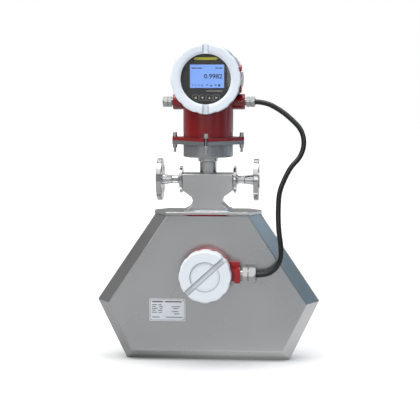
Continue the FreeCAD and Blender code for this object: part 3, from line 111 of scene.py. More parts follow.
def add_node(tree, kind, **settings):
    node = tree.nodes.new(kind)
    for key, value in settings.items():
        setattr(node, key, value)
    return node


def add_range(tree, start, end, low=0.0, high=1.0, kind="LINEAR"):
    """A Map Range node: start to end goes in, low to high comes out."""
    node = add_node(tree, "ShaderNodeMapRange", interpolation_type=kind)
    for label, value in (("From Min", start), ("From Max", end), ("To Min", low), ("To Max", high)):
        node.inputs[label].default_value = value
    return node


def shader_of(material):
    return material.node_tree.nodes["Principled BSDF"]


# %% Build node groups
def new_group(name, inputs, outputs):
    group = bpy.data.node_groups.new(name, "ShaderNodeTree")
    for label, kind, value in inputs:
        socket = group.interface.new_socket(label, in_out="INPUT", socket_type=kind)
        socket.default_value = value
    for label, kind in outputs:
        group.interface.new_socket(label, in_out="OUTPUT", socket_type=kind)
    return group, group.nodes.new("NodeGroupInput"), group.nodes.new("NodeGroupOutput")


def use_group(tree, group, **values):
    node = tree.nodes.new("ShaderNodeGroup")
    node.node_tree = group
    for label, value in values.items():
        node.inputs[label.replace("_", " ").capitalize()].default_value = value
    return node


# %% [markdown]
# ### Grain, smudges and cast skin
#
# Satin sheet steel has a very fine grain along one direction. Stretching a noise texture along that
# direction gives it. Handled metal also has broad, soft patches where the sheen changes, which a large
# noise gives. Paint on a casting shows the skin of the casting, fine and pebbled.

# %% A stretched grain
def make_grain_group():
    group, start, end = new_group(
        "stretched grain",
        [("Stretch", "NodeSocketVector", (1.0, 1.0, 1.0)), ("Scale", "NodeSocketFloat", 400.0)],
        [("Height", "NodeSocketFloat")],
    )
    place = add_node(group, "ShaderNodeTexCoord")
    stretch = add_node(group, "ShaderNodeVectorMath", operation="MULTIPLY")
    noise = add_node(group, "ShaderNodeTexNoise")
    noise.inputs["Detail"].default_value = 6.0
    group.links.new(place.outputs["Object"], stretch.inputs[0])
    group.links.new(start.outputs["Stretch"], stretch.inputs[1])
    group.links.new(stretch.outputs["Vector"], noise.inputs["Vector"])
    group.links.new(start.outputs["Scale"], noise.inputs["Scale"])
    group.links.new(noise.outputs["Fac"], end.inputs["Height"])
    return group


# %% Soft smudges
def make_smudge_group():
    group, start, end = new_group(
        "soft smudges",
        [("Scale", "NodeSocketFloat", 9.0), ("Low", "NodeSocketFloat", 0.2),
         ("High", "NodeSocketFloat", 0.35)],
        [("Value", "NodeSocketFloat"), ("Mask", "NodeSocketFloat")],
    )
    place = add_node(group, "ShaderNodeTexCoord")
    noise = add_node(group, "ShaderNodeTexNoise")
    noise.inputs["Detail"].default_value = 1.5
    noise.inputs["Roughness"].default_value = 0.4
    spread = add_range(group, 0.3, 0.7)
    group.links.new(place.outputs["Object"], noise.inputs["Vector"])
    group.links.new(start.outputs["Scale"], noise.inputs["Scale"])
    group.links.new(noise.outputs["Fac"], spread.inputs["Value"])
    group.links.new(start.outputs["Low"], spread.inputs["To Min"])
    group.links.new(start.outputs["High"], spread.inputs["To Max"])
    group.links.new(spread.outputs["Result"], end.inputs["Value"])
    group.links.new(noise.outputs["Fac"], end.inputs["Mask"])
    return group


# %% A cast skin
def make_skin_group():
    group, start, end = new_group(
        "cast skin",
        [("Scale", "NodeSocketFloat", 900.0), ("Broad scale", "NodeSocketFloat", 60.0)],
        [("Height", "NodeSocketFloat")],
    )
    place = add_node(group, "ShaderNodeTexCoord")
    fine = add_node(group, "ShaderNodeTexNoise")
    broad = add_node(group, "ShaderNodeTexNoise")
    both = add_node(group, "ShaderNodeMath", operation="MULTIPLY_ADD")
    both.inputs[1].default_value = 0.35
    for noise, scale in ((fine, "Scale"), (broad, "Broad scale")):
        group.links.new(place.outputs["Object"], noise.inputs["Vector"])
        group.links.new(start.outputs[scale], noise.inputs["Scale"])
    group.links.new(fine.outputs["Fac"], both.inputs[0])
    group.links.new(broad.outputs["Fac"], both.inputs[2])
    group.links.new(both.outputs["Value"], end.inputs["Height"])
    return group


grain_group = make_grain_group()
smudge_group = make_smudge_group()
skin_group = make_skin_group()
print("node groups:", [g.name for g in (grain_group, smudge_group, skin_group)])


# %% Give a surface relief and sheen
def add_bump(material, height, strength, distance):
    """A Bump node that feeds the shader's normal."""
    tree = material.node_tree
    bump = add_node(tree, "ShaderNodeBump")
    bump.inputs["Strength"].default_value = strength
    bump.inputs["Distance"].default_value = distance
    tree.links.new(height, bump.inputs["Height"])
    tree.links.new(bump.outputs["Normal"], shader_of(material).inputs["Normal"])


def add_smudges(material, scale, low, high):
    tree = material.node_tree
    smudge = use_group(tree, smudge_group, scale=scale, low=low, high=high)
    tree.links.new(smudge.outputs["Value"], shader_of(material).inputs["Roughness"])
    return smudge


def tint_by(material, mask, first, second, low=0.35, high=0.65):
    """Mixes two base colours by a mask."""
    tree = material.node_tree
    ramp = add_node(tree, "ShaderNodeValToRGB")
    ramp.color_ramp.elements[0].position = low
    ramp.color_ramp.elements[1].position = high
    ramp.color_ramp.elements[0].color = (*first, 1.0)
    ramp.color_ramp.elements[1].color = (*second, 1.0)
    tree.links.new(mask, ramp.inputs["Fac"])
    tree.links.new(ramp.outputs["Color"], shader_of(material).inputs["Base Color"])


def shade_crevices(material, reach, dark):
    """Paints shade into the base colour where another surface stands close, as in grooves and corners."""
    tree = material.node_tree
    shader = shader_of(material)
    closeness = add_node(tree, "ShaderNodeAmbientOcclusion", samples=8)
    closeness.inputs["Distance"].default_value = reach
    depth = add_range(tree, 0.25, 0.95, dark)
    shade = add_node(tree, "ShaderNodeMix", data_type="RGBA", blend_type="MULTIPLY")
    shade.inputs["Factor"].default_value = 1.0
    coloured = shader.inputs["Base Color"]
    if coloured.is_linked:
        tree.links.new(coloured.links[0].from_socket, shade.inputs["A"])
    else:
        shade.inputs["A"].default_value = coloured.default_value
    tree.links.new(closeness.outputs["AO"], depth.inputs["Value"])
    tree.links.new(depth.outputs["Result"], shade.inputs["B"])
    tree.links.new(shade.outputs["Result"], coloured)


# %% [markdown]
# ## Steel
#
# The case is folded from satin stainless sheet. It mirrors what stands in front of it, but blurred, which
# comes from a middling roughness. The machined parts are brighter and sharper.

# %% Satin sheet for the case
EVEN_GRAIN = (1.0, 1.0, 1.0)
SHEET_GRAIN = (0.08, 1.0, 1.0)
PLATE_GRAIN = (0.05, 1.0, 1.0)


def satin_steel(name, light, dark, low, high, scale, grain_strength=0.12, stretch=EVEN_GRAIN):
    material = new_material(name, light, low, 1.0)
    smudge = add_smudges(material, 7.0, low, high)
    tint_by(material, smudge.outputs["Mask"], dark, light)
    grain = use_group(material.node_tree, grain_group, stretch=stretch, scale=scale)
    add_bump(material, grain.outputs["Height"], grain_strength, 0.0001)
    return material


case_steel = satin_steel("case_steel", (0.55, 0.552, 0.555), (0.51, 0.512, 0.515),
                         0.24, 0.32, 900.0, 0.03, SHEET_GRAIN)
block_steel = satin_steel("block_steel", (0.73, 0.728, 0.72), (0.67, 0.668, 0.66), 0.18, 0.28, 600.0, 0.05)
pad_steel = satin_steel("pad_steel", (0.80, 0.83, 0.86), (0.74, 0.77, 0.80), 0.12, 0.2, 600.0, 0.02)
tube_steel = satin_steel("tube_steel", (0.70, 0.70, 0.69), (0.64, 0.635, 0.625), 0.2, 0.3, 500.0)


# %% Turned steel for flanges, discs and the neck
def turned_steel(name, axis, colour, low, high):
    """Rings round the lathe's axis: the distance from the axis drives a fine wave."""
    material = new_material(name, colour, low, 1.0)
    add_smudges(material, 30.0, low, high)
    tree = material.node_tree
    place = add_node(tree, "ShaderNodeTexCoord")
    rings = add_node(tree, "ShaderNodeTexWave", wave_type="RINGS", rings_direction=axis)
    rings.inputs["Scale"].default_value = 350.0
    rings.inputs["Distortion"].default_value = 0.4
    rings.inputs["Detail"].default_value = 2.0
    shift = add_node(tree, "ShaderNodeMapping")
    shift.inputs["Location"].default_value = (0.0, 0.0, -PIPE_UP * MM if axis == "X" else 0.0)
    tree.links.new(place.outputs["Object"], shift.inputs["Vector"])
    tree.links.new(shift.outputs["Vector"], rings.inputs["Vector"])
    add_bump(material, rings.outputs["Fac"], 0.15, 0.00008)
    return material


flange_steel = turned_steel("flange_steel", "X", (0.54, 0.545, 0.55), 0.1, 0.18)
neck_steel = turned_steel("neck_steel", "Z", (0.78, 0.78, 0.77), 0.12, 0.2)
bright_zinc = satin_steel("bright_zinc", (0.76, 0.76, 0.75), (0.62, 0.62, 0.6), 0.2, 0.32, 900.0)
nickel = satin_steel("nickel", (0.58, 0.58, 0.57), (0.44, 0.44, 0.44), 0.06, 0.1, 900.0, 0.03)

# Painted shade: these darken each metal's base colour in grooves, in corners and where another part stands
# close.
for metal in (nickel, flange_steel, bright_zinc):
    shade_crevices(metal, 0.005, 0.25)
shade_crevices(neck_steel, 0.008, 0.35)
shade_crevices(block_steel, 0.008, 0.45)
shade_crevices(case_steel, 0.014, 0.6)
print("metals:", case_steel.name, block_steel.name, flange_steel.name, neck_steel.name, nickel.name)

# %% [markdown]
# ## Paint
#
# The head and the junction box are aluminium castings under powder coat: deep red, off-white on the screw
# covers, and grey on the adapter. The junction box's red and white are lighter copies of the head's red and
# white, a painted light. A clear coat gives the crisp highlight, and the cast skin the slight ripple in it.

# %% Powder coats
def powder_coat(name, colour, shade, roughness, coat, skin_strength):
    material = new_material(name, colour, roughness, coat_weight=coat, coat_roughness=0.12)
    smudge = add_smudges(material, 14.0, roughness, roughness + 0.1)
    tint_by(material, smudge.outputs["Mask"], shade, colour)
    skin = use_group(material.node_tree, skin_group, scale=900.0, broad_scale=90.0)
    add_bump(material, skin.outputs["Height"], skin_strength, 0.0002)
    return material


# Painted light: the junction box's red and white below are lighter copies of the head's red and white,
# standing for brighter light on the box.
red_paint = powder_coat("red_paint", (0.28, 0.002, 0.005), (0.23, 0.0015, 0.004), 0.16, 0.5, 0.05)
lit_box_red = powder_coat("lit_box_red", (0.42, 0.004, 0.009), (0.35, 0.003, 0.007), 0.18, 0.4, 0.05)
lit_box_white = powder_coat("lit_box_white", (0.93, 0.96, 1.0), (0.89, 0.93, 0.98), 0.28, 0.3, 0.06)
white_paint = powder_coat("white_paint", (0.82, 0.87, 0.94), (0.77, 0.83, 0.91), 0.28, 0.3, 0.06)
grey_paint = powder_coat("grey_paint", (0.36, 0.37, 0.38), (0.32, 0.33, 0.34), 0.22, 0.3, 0.08)
shader_of(grey_paint).inputs["Metallic"].default_value = 0.75
# Painted shade: these darken each paint's base colour in grooves, recesses and corners.
shade_crevices(white_paint, 0.009, 0.16)
shade_crevices(red_paint, 0.008, 0.35)
shade_crevices(lit_box_red, 0.008, 0.35)
shade_crevices(grey_paint, 0.006, 0.40)
shade_crevices(lit_box_white, 0.009, 0.1)
print("paints:", red_paint.name, white_paint.name, grey_paint.name)

# %% [markdown]
# ## Rubber, plastic, glass and the lit panel
#
# The rest is small, but each has its own sheen.

# %% Rubber and plastics
def moulded(name, colour, shade, roughness, scale=700.0, strength=0.15):
    material = new_material(name, colour, roughness)
    smudge = add_smudges(material, 25.0, roughness, roughness + 0.12)
    tint_by(material, smudge.outputs["Mask"], shade, colour)
    skin = use_group(material.node_tree, skin_group, scale=scale, broad_scale=80.0)
    add_bump(material, skin.outputs["Height"], strength, 0.0001)
    return material


rubber = moulded("rubber", (0.022, 0.022, 0.023), (0.016, 0.016, 0.017), 0.5)
jacket = moulded("cable_jacket", (0.008, 0.009, 0.010), (0.006, 0.007, 0.008), 0.24, 400.0, 0.1)
face_plastic = moulded("face_plastic", (0.050, 0.045, 0.040), (0.043, 0.039, 0.034), 0.45, 700.0, 0.03)
shader_of(face_plastic).inputs["Specular IOR Level"].default_value = 0.35
black_plastic = moulded("black_plastic", (0.025, 0.025, 0.028), (0.02, 0.02, 0.022), 0.4)
green_plastic = moulded("green_plastic", (0.05, 0.16, 0.07), (0.04, 0.13, 0.06), 0.4)
board_green = moulded("board_green", (0.01, 0.09, 0.03), (0.008, 0.07, 0.025), 0.3)
key_plastic = moulded("key_plastic", (0.02, 0.02, 0.023), (0.015, 0.015, 0.018), 0.12)
plate_metal = satin_steel("plate_metal", (0.82, 0.85, 0.89), (0.78, 0.81, 0.85), 0.34, 0.42, 900.0,
                          stretch=PLATE_GRAIN)
shader_of(plate_metal).inputs["Metallic"].default_value = 0.35
ring_metal = satin_steel("ring_metal", (0.34, 0.35, 0.36), (0.28, 0.29, 0.30), 0.3, 0.4, 700.0)
copper = satin_steel("copper", (0.72, 0.36, 0.16), (0.62, 0.3, 0.12), 0.25, 0.35, 900.0)
brass = satin_steel("brass", (0.80, 0.66, 0.36), (0.7, 0.56, 0.28), 0.2, 0.3, 700.0)

# %% Glass and the lit panel
glass = new_material("window_glass", (0.97, 0.985, 0.985), 0.02, 0.0, transmission_weight=1.0, ior=1.46)
lit_panel = new_material("lit_panel", (0.02, 0.03, 0.06), 0.15)
shader_of(lit_panel).inputs["Emission Color"].default_value = (0.228, 0.428, 1.0, 1.0)
shader_of(lit_panel).inputs["Emission Strength"].default_value = 0.96

# %% [markdown]
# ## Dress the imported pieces
#
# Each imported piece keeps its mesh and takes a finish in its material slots.

# %% Which finish goes on which piece
FINISHES = {
    "case_steel": case_steel,
    "machined_steel": block_steel,
    "plate_metal": plate_metal,
    "tube_steel": tube_steel,
    "coil": copper,
    "magnet": nickel,
    "fasteners": bright_zinc,
    "grey_paint": grey_paint,
    "red_paint": red_paint,
    "white_paint": white_paint,
    "o_ring": rubber,
    "window_glass": glass,
    "ring_metal": ring_metal,
    "bezel_plastic": face_plastic,
    "display": lit_panel,
    "keys": key_plastic,
    "circuit_board": board_green,
    "module_plastic": black_plastic,
    "terminal_plastic": green_plastic,
    "terminal_metal": brass,
    "gland_metal": nickel,
    "gland_rubber": rubber,
    "cable_jacket": jacket,
}
SPECIAL = {
    "neck_tube": neck_steel,
    "junction_base": lit_box_red,
    "junction_cover": lit_box_white,
    "manifold_base_pad": pad_steel,
    "case_top_plate": tube_steel,
    "inlet_flange": flange_steel,
    "outlet_flange": flange_steel,
    "inlet_end_disc": flange_steel,
    "outlet_end_disc": flange_steel,
    "inlet_stub": flange_steel,
    "outlet_stub": flange_steel,
}


def dress(node, material):
    slots = nodes[node].data.materials
    slots.clear()
    slots.append(material)


for entry in frame["record"]["subparts"]:
    name = entry["node"]
    dress(name, SPECIAL.get(name, FINISHES[entry["material_slot"]]))
print("dressed", len(nodes), "pieces in", len(FINISHES), "finishes")

# %% [markdown]
# ### Soft edges
#
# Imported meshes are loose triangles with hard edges. No real edge is that sharp, and a rounded one catches
# the light. Three modifiers do it without touching the mesh: one merges the triangles and smooths the
# shading where faces meet at a shallow angle, a bevel rounds the edges of the pieces listed, and the last
# keeps the shading of large faces flat.

# %% The modifier that merges and smooths
def make_smoothing_nodes(limit):
    tree = bpy.data.node_groups.new("merge and smooth", "GeometryNodeTree")
    tree.interface.new_socket("Geometry", in_out="INPUT", socket_type="NodeSocketGeometry")
    tree.interface.new_socket("Geometry", in_out="OUTPUT", socket_type="NodeSocketGeometry")
    start, end = tree.nodes.new("NodeGroupInput"), tree.nodes.new("NodeGroupOutput")
    merge = tree.nodes.new("GeometryNodeMergeByDistance")
    merge.inputs["Distance"].default_value = 0.002 * MM
    smooth = tree.nodes.new("GeometryNodeSetShadeSmooth")
    angle = tree.nodes.new("GeometryNodeInputMeshEdgeAngle")
    sharp = tree.nodes.new("FunctionNodeCompare")
    sharp.inputs["B"].default_value = limit
    crease = tree.nodes.new("GeometryNodeSetShadeSmooth")
    crease.domain = "EDGE"
    crease.inputs["Shade Smooth"].default_value = False
    tree.links.new(start.outputs[0], merge.inputs["Geometry"])
    tree.links.new(merge.outputs["Geometry"], smooth.inputs["Geometry"])
    tree.links.new(smooth.outputs["Geometry"], crease.inputs["Geometry"])
    tree.links.new(angle.outputs["Unsigned Angle"], sharp.inputs["A"])
    tree.links.new(sharp.outputs["Result"], crease.inputs["Selection"])
    tree.links.new(crease.outputs["Geometry"], end.inputs[0])
    return tree


smoothing = make_smoothing_nodes(math.radians(28))


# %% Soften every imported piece
EDGE_WIDTHS = {
    "manifold_base_pad": 1.3,
    "case_top_plate": 0.8,
    "type_plate": 0.2,
    "inlet_end_disc": 0.6,
    "outlet_end_disc": 0.6,
    "adapter_housing": 0.5,
    "clamp_bolts": 0.4,
    "clamp_nuts": 0.3,
    "side_plate": 0.4,
}


def soften(piece, width):
    merge = piece.modifiers.new("merge and smooth", "NODES")
    merge.node_group = smoothing
    if width:
        edge = piece.modifiers.new("soft edges", "BEVEL")
        edge.width = width * MM
        edge.segments = 2
        edge.limit_method = "ANGLE"
        edge.angle_limit = math.radians(40)
        edge.use_clamp_overlap = True
    flat = piece.modifiers.new("flat faces stay flat", "WEIGHTED_NORMAL")
    flat.keep_sharp = True


for name, piece in nodes.items():
    soften(piece, EDGE_WIDTHS.get(name, 0))
print("softened", len(nodes), "pieces,", len(EDGE_WIDTHS), "of them with a bevel")

# %% [markdown]
# ## Small pieces
#
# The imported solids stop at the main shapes. Marks on the display, weld beads, threads and rivets are
# smaller than that and are modelled here. Each is a bmesh drawn straight in its place, so its object stays
# at the origin. They could be drawn into a texture instead, but real relief also catches the light from the
# side.

# %% Turn a bmesh into a piece
def make_piece(name, bm, material, body="meter"):
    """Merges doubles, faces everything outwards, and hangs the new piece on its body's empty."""
    bmesh.ops.remove_doubles(bm, verts=bm.verts, dist=0.002 * MM)
    bmesh.ops.recalc_face_normals(bm, faces=bm.faces)
    mesh = bpy.data.meshes.new(name)
    bm.to_mesh(mesh)
    bm.free()
    mesh.materials.append(material)
    piece = bpy.data.objects.new(name, mesh)
    bpy.context.scene.collection.objects.link(piece)
    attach(piece, body)
    return piece


def gather(name, parts, material, body="meter", smooth=False):
    """Joins several bmeshes into one piece."""
    whole = bmesh.new()
    for part in parts:
        mesh = bpy.data.meshes.new("part")
        part.to_mesh(mesh)
        part.free()
        whole.from_mesh(mesh)
        bpy.data.meshes.remove(mesh)
    for face in whole.faces:
        face.smooth = smooth
    return make_piece(name, whole, material, body)


def bmesh_of(curve, matrix=None):
    """Turns a curve or a text into a bmesh."""
    holder = bpy.data.objects.new("holder", curve)
    bpy.context.scene.collection.objects.link(holder)
    mesh = bpy.data.meshes.new_from_object(holder.evaluated_get(bpy.context.evaluated_depsgraph_get()))
    bpy.data.objects.remove(holder)
    if matrix is not None:
        mesh.transform(matrix)
    bm = bmesh.new()
    bm.from_mesh(mesh)
    return bm


TO_READER = Matrix.Rotation(math.pi / 2, 4, "X")
TO_RIGHT = Matrix.Rotation(math.pi / 2, 4, "Y")


# %% Flat shapes that face the reader
def flat_outline(corners, depth, corner_radius=0.0):
    """One face over (across, up) corners, in millimetres, with its corners rounded."""
    bm = bmesh.new()
    bm.faces.new([bm.verts.new((across * MM, depth * MM, up * MM)) for across, up in corners])
    if corner_radius:
        bmesh.ops.bevel(bm, geom=bm.verts[:], offset=corner_radius * MM, offset_type="OFFSET", segments=4,
                        profile=0.5, affect="VERTICES", material=-1)
    return bm


def box_corners(across, up, width, height):
    return [(across + side * width / 2, up + level * height / 2) for side, level in
            ((-1, -1), (1, -1), (1, 1), (-1, 1))]


def raise_flat(bm, height):
    """Gives a flat shape its thickness towards the reader."""
    grown = bmesh.ops.extrude_face_region(bm, geom=bm.faces[:])
    moved = [item for item in grown["geom"] if isinstance(item, bmesh.types.BMVert)]
    bmesh.ops.translate(bm, verts=moved, vec=(0, -height * MM, 0))
    return bm


def bar(across, up, width, height, depth, thickness, corner_radius=0.0):
    return raise_flat(flat_outline(box_corners(across, up, width, height), depth, corner_radius), thickness)


def outline_frame(across, up, width, height, line, depth, thickness, corner_radius):
    """A thin line round a rectangle: the face is inset, and its middle is taken out."""
    bm = flat_outline(box_corners(across, up, width, height), depth, corner_radius)
    ring = bmesh.ops.inset_individual(bm, faces=bm.faces[:], thickness=line * MM, use_even_offset=True)
    middle = [face for face in bm.faces if face not in ring["faces"]]
    bmesh.ops.delete(bm, geom=middle, context="FACES")
    return raise_flat(bm, thickness)


# %% Colours of the display's marks
def printed(name, colour, roughness=0.45):
    ink = new_material(name, colour, roughness)
    add_smudges(ink, 60.0, roughness, roughness + 0.1)
    return ink


yellow_ink = printed("yellow_ink", (0.95, 0.88, 0.04))
dark_ink = printed("dark_segments", (0.004, 0.008, 0.03))
faded_ink = printed("faded_segments", (0.05, 0.085, 0.21))
grey_ink = printed("grey_ink", (0.45, 0.44, 0.42))
pale_ink = printed("pale_ink", (0.92, 0.92, 0.88))
key_line = printed("key_line", (0.27, 0.255, 0.24))

# %% [markdown]
# ### What the display shows
#
# The face plate carries a plain yellow band with a pointed end, a plain grey bar and four outlined touch
# keys with arrows. The lit panel shows one large number, two short marks above it and a row of small marks
# below. The number is a text object turned into a mesh, which is quicker than drawing its digits.

# %% Marks on the face plate
FACE_FRONT = -74.0
LCD_FRONT = -73.0
INK = 0.15
BAND_UP = 708.8
BAND_HALF = 3.0
BAND_LEFT = -27
BAND_SHOULDER = 23
BAND_TIP = 28
GREY_BAR_ACROSS = 18.5
GREY_BAR_UP = 635.3
GREY_BAR_LENGTH = 37.0
KEY_ROW_UP = 619.9
KEY_ACROSS = (-24.0, -8.0, 8.0, 24.0)
KEY_WIDTH = 14.4
KEY_LINE = 1.1

band = flat_outline([(BAND_LEFT, BAND_UP - BAND_HALF), (BAND_SHOULDER, BAND_UP - BAND_HALF),
                     (BAND_TIP, BAND_UP), (BAND_SHOULDER, BAND_UP + BAND_HALF),
                     (BAND_LEFT, BAND_UP + BAND_HALF)], FACE_FRONT)
gather("yellow_band", [raise_flat(band, INK)], yellow_ink)
grey_bar = bar(GREY_BAR_ACROSS, GREY_BAR_UP, GREY_BAR_LENGTH, 2.0, FACE_FRONT, INK, 0.5)
gather("grey_bar", [grey_bar], grey_ink)
key_outlines = [outline_frame(across, KEY_ROW_UP, KEY_WIDTH, KEY_WIDTH, KEY_LINE, FACE_FRONT, INK, 2.2)
                for across in KEY_ACROSS]
gather("key_outlines", key_outlines, key_line)

# %% Arrows on the keys
ARROW_SIZE = 3.5
KEY_FRONT = -74.6


def arrow(across, turn):
    """A triangle that points along a turn, seen from the front."""
    corners = [(across + ARROW_SIZE * math.cos(turn + step), KEY_ROW_UP + ARROW_SIZE * math.sin(turn + step))
               for step in (0, math.radians(130), math.radians(230))]
    return raise_flat(flat_outline(corners, KEY_FRONT, 0.3), INK)


ARROW_TURNS = (math.pi, -math.pi / 2, math.pi / 2, 0.0)
key_arrows = [arrow(across, turn) for across, turn in zip(KEY_ACROSS, ARROW_TURNS)]
gather("key_arrows", key_arrows, pale_ink)

# %% Marks on the lit panel
DIGIT_STRETCH = 1.08


def number_mesh(words, size, right_end, foot, depth):
    """Text turned into a mesh that faces the reader and ends at a set place."""
    curve = bpy.data.curves.new("number", "FONT")
    curve.body = words
    curve.size = size * MM
    curve.extrude = INK * MM / 2
    curve.offset = 0.25 * MM
    curve.align_x = "RIGHT"
    to_place = Matrix.Translation(Vector((right_end, depth, foot)) * MM)
    return bmesh_of(curve, to_place @ TO_READER @ Matrix.Diagonal((DIGIT_STRETCH, 1.0, 1.0, 1.0)))


TOP_MARKS_UP = 687.2
LOW_MARKS_UP = 648.3
TOP_MARKS = ((-27.5, 11.5), (-15.0, 11.0), (24.5, 6.0), (33.0, 8.5))
FAINT_MARKS = (-30, -24, -16, -10, -8)
DARK_MARKS = ((3.0, 1.0, 4.2, 2.2), (11.5, -1.0, 5.0, 2.8), (22.0, 0.6, 4.2, 2.6), (30.0, 0.0, 3.8, 5.6))
NUMBER_SIZE = 14.4
NUMBER_RIGHT = 37.4
NUMBER_FOOT = 663.9

top_marks = [bar(across, TOP_MARKS_UP, width, 2.6, LCD_FRONT, INK, 0.4) for across, width in TOP_MARKS]
faint_marks = [bar(across, LOW_MARKS_UP, 1.6, 3.2, LCD_FRONT, INK) for across in FAINT_MARKS]
dark_marks = [bar(across, LOW_MARKS_UP + rise, width, height, LCD_FRONT, INK, 0.6)
              for across, rise, width, height in DARK_MARKS]
gather("top_marks", top_marks, faded_ink)
gather("faint_marks", faint_marks, faded_ink)
gather("dark_marks", dark_marks, dark_ink)
number = number_mesh("0.9982", NUMBER_SIZE, NUMBER_RIGHT, NUMBER_FOOT, LCD_FRONT - INK / 2)
gather("number", [number], dark_ink)
print("display marks done")

# %% [markdown]
# ### The type plate
#
# A type plate is etched and riveted on at its corners. Here it says nothing: a thin border, and short plain
# bars where lines of words would stand, with four drive rivets.

# %% Etch the plate and rivet it
PLATE_ACROSS, PLATE_UP, PLATE_FRONT = -93.4, 122.5, -46.0
BORDER_WIDTH, BORDER_HEIGHT, BORDER_LINE = 81.0, 49.0, 0.7
ETCH = 0.08
RIVET_ASIDE, RIVET_RISE = 38.5, 22.5
SIDE_PLATE_FACE, SIDE_PLATE_UP = 80.0, 662.4
SCREW_ALONG, SCREW_RISE = 16, 14.5
etched = printed("etched_lines", (0.10, 0.103, 0.11), 0.5)


def spun_dome(radius, height, segments=16):
    """A low dome standing up from the origin along Z, spun from a quarter arc."""
    bm = bmesh.new()
    steps = 4
    arc = [bm.verts.new((radius * MM * math.cos(t), 0, height * MM * math.sin(t)))
           for t in (math.pi / 2 * step / steps for step in range(steps + 1))]
    edges = [bm.edges.new(pair) for pair in zip(arc, arc[1:])]
    bmesh.ops.spin(bm, geom=arc + edges, cent=(0, 0, 0), axis=(0, 0, 1), angle=math.tau, steps=segments,
                   use_merge=True)
    bmesh.ops.remove_doubles(bm, verts=bm.verts, dist=0.002 * MM)
    return bm


def put(bm, place, turn=None):
    """Turns a part about the origin and carries it to its place, in millimetres."""
    matrix = Matrix.Translation(Vector(place) * MM)
    if turn:
        matrix = matrix @ turn
    bmesh.ops.transform(bm, matrix=matrix, verts=bm.verts)
    return bm


PLATE_MARKS = (
    (-36, 19.5, 26), (-6, 19.5, 40),
    (-36, 12.0, 11), (-21, 12.0, 7), (-36, 7.5, 9), (-20, 7.5, 10), (-36, 3.0, 13), (-18, 3.0, 6),
    (-36, -1.5, 8), (-23, -1.5, 11), (-36, -6.0, 12), (-21, -6.0, 8), (-36, -17.5, 18), (-4, -17.5, 16),
    (10, 7.5, 20), (14, 3.0, 12), (10, -4.0, 16), (16, -9.5, 12), (12, -17.5, 24),
)
MARK_HEIGHT = 1.7
HEADING_SHARE = 1.7
HEADING_UP = 15
rows = [outline_frame(PLATE_ACROSS, PLATE_UP, BORDER_WIDTH, BORDER_HEIGHT, BORDER_LINE,
                      PLATE_FRONT, ETCH, 1.5)]
for start, up, length in PLATE_MARKS:
    height = MARK_HEIGHT * (HEADING_SHARE if up > HEADING_UP else 1)
    rows.append(bar(PLATE_ACROSS + start + length / 2, PLATE_UP + up, length, height, PLATE_FRONT, ETCH))
gather("plate_etching", rows, etched)
plate_rivets = [put(spun_dome(1.3, 0.7), (PLATE_ACROSS + side * RIVET_ASIDE, PLATE_FRONT,
                                          PLATE_UP + level * RIVET_RISE), TO_READER)
                for side in (-1, 1) for level in (-1, 1)]
gather("plate_rivets", plate_rivets, bright_zinc, smooth=True)
side_screws = [put(spun_dome(2.0, 1.2),
                   (SIDE_PLATE_FACE, along, SIDE_PLATE_UP + level * SCREW_RISE), TO_RIGHT)
               for along in (-SCREW_ALONG, SCREW_ALONG) for level in (-1, 1)]
gather("side_plate_screws", side_screws, bright_zinc, smooth=True)

# %% [markdown]
# ### Weld beads
#
# The case is two dishes welded along the rim, and the neck, the stubs and the foot of the block are welded
# too. A bead is a small round ridge half sunk in the joint. Where the joint is a circle it is spun, and
# where it follows corners it is a curve with a round section, turned into a mesh.

# %% Lay the beads
weld_steel = satin_steel("weld_steel", (0.60, 0.59, 0.57), (0.42, 0.41, 0.40), 0.3, 0.45, 260.0)


def spun_bead(radius, bead, segments=64):
    bm = bmesh.new()
    ring = bmesh.ops.create_circle(bm, cap_ends=False, segments=8, radius=bead * MM)
    bmesh.ops.rotate(bm, verts=ring["verts"], cent=(0, 0, 0), matrix=Matrix.Rotation(math.pi / 2, 3, "X"))
    bmesh.ops.translate(bm, verts=ring["verts"], vec=(radius * MM, 0, 0))
    bmesh.ops.spin(bm, geom=bm.verts[:] + bm.edges[:], cent=(0, 0, 0), axis=(0, 0, 1), angle=math.tau,
                   steps=segments, use_merge=True)
    return bm


def bead_along(corners, bead, closed):
    """A bead that follows straight runs between corners."""
    curve = bpy.data.curves.new("bead", "CURVE")
    curve.dimensions = "3D"
    curve.bevel_depth = bead * MM
    curve.bevel_resolution = 2
    curve.use_fill_caps = True
    spline = curve.splines.new("POLY")
    spline.points.add(len(corners) - 1)
    for point, corner in zip(spline.points, corners):
        point.co = (*(Vector(corner) * MM), 1.0)
    spline.use_cyclic_u = closed
    return bmesh_of(curve)


def box_of(node):
    """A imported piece's box in millimetres: its low corner and its high corner."""
    low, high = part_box(node)
    return Vector(low) / MM, Vector(high) / MM


case_low, case_high = box_of("case_front_shell")
neck_low = box_of("neck_tube")[0]
pad_low, pad_high = box_of("manifold_base_pad")
stub_low, stub_high = box_of("outlet_stub")
NECK_RADIUS = 20.0
SEAM = 1.1
FILLET = 0.9
RIM_FOOT_ACROSS, RIM_FOOT_UP = 194, 1.5
RIM_MIDDLE_UP = 141
RIM_TOP_ACROSS, RIM_TOP_UP = 124, 347
BLOCK_FOOT = Vector((51.5, 30, 0))
beads = [bead_along([(side * RIM_FOOT_ACROSS, 0, RIM_FOOT_UP), (side * case_high.x, 0, RIM_MIDDLE_UP),
                     (side * RIM_TOP_ACROSS, 0, RIM_TOP_UP)], SEAM, False) for side in (-1, 1)]
beads.append(put(spun_bead(NECK_RADIUS, SEAM), (0, 0, neck_low.z)))
for side in (-1, 1):
    for across in (stub_low.x, stub_high.x):
        beads.append(put(spun_bead(stub_high.z - PIPE_UP, FILLET, 40), (side * across, 0, PIPE_UP), TO_RIGHT))
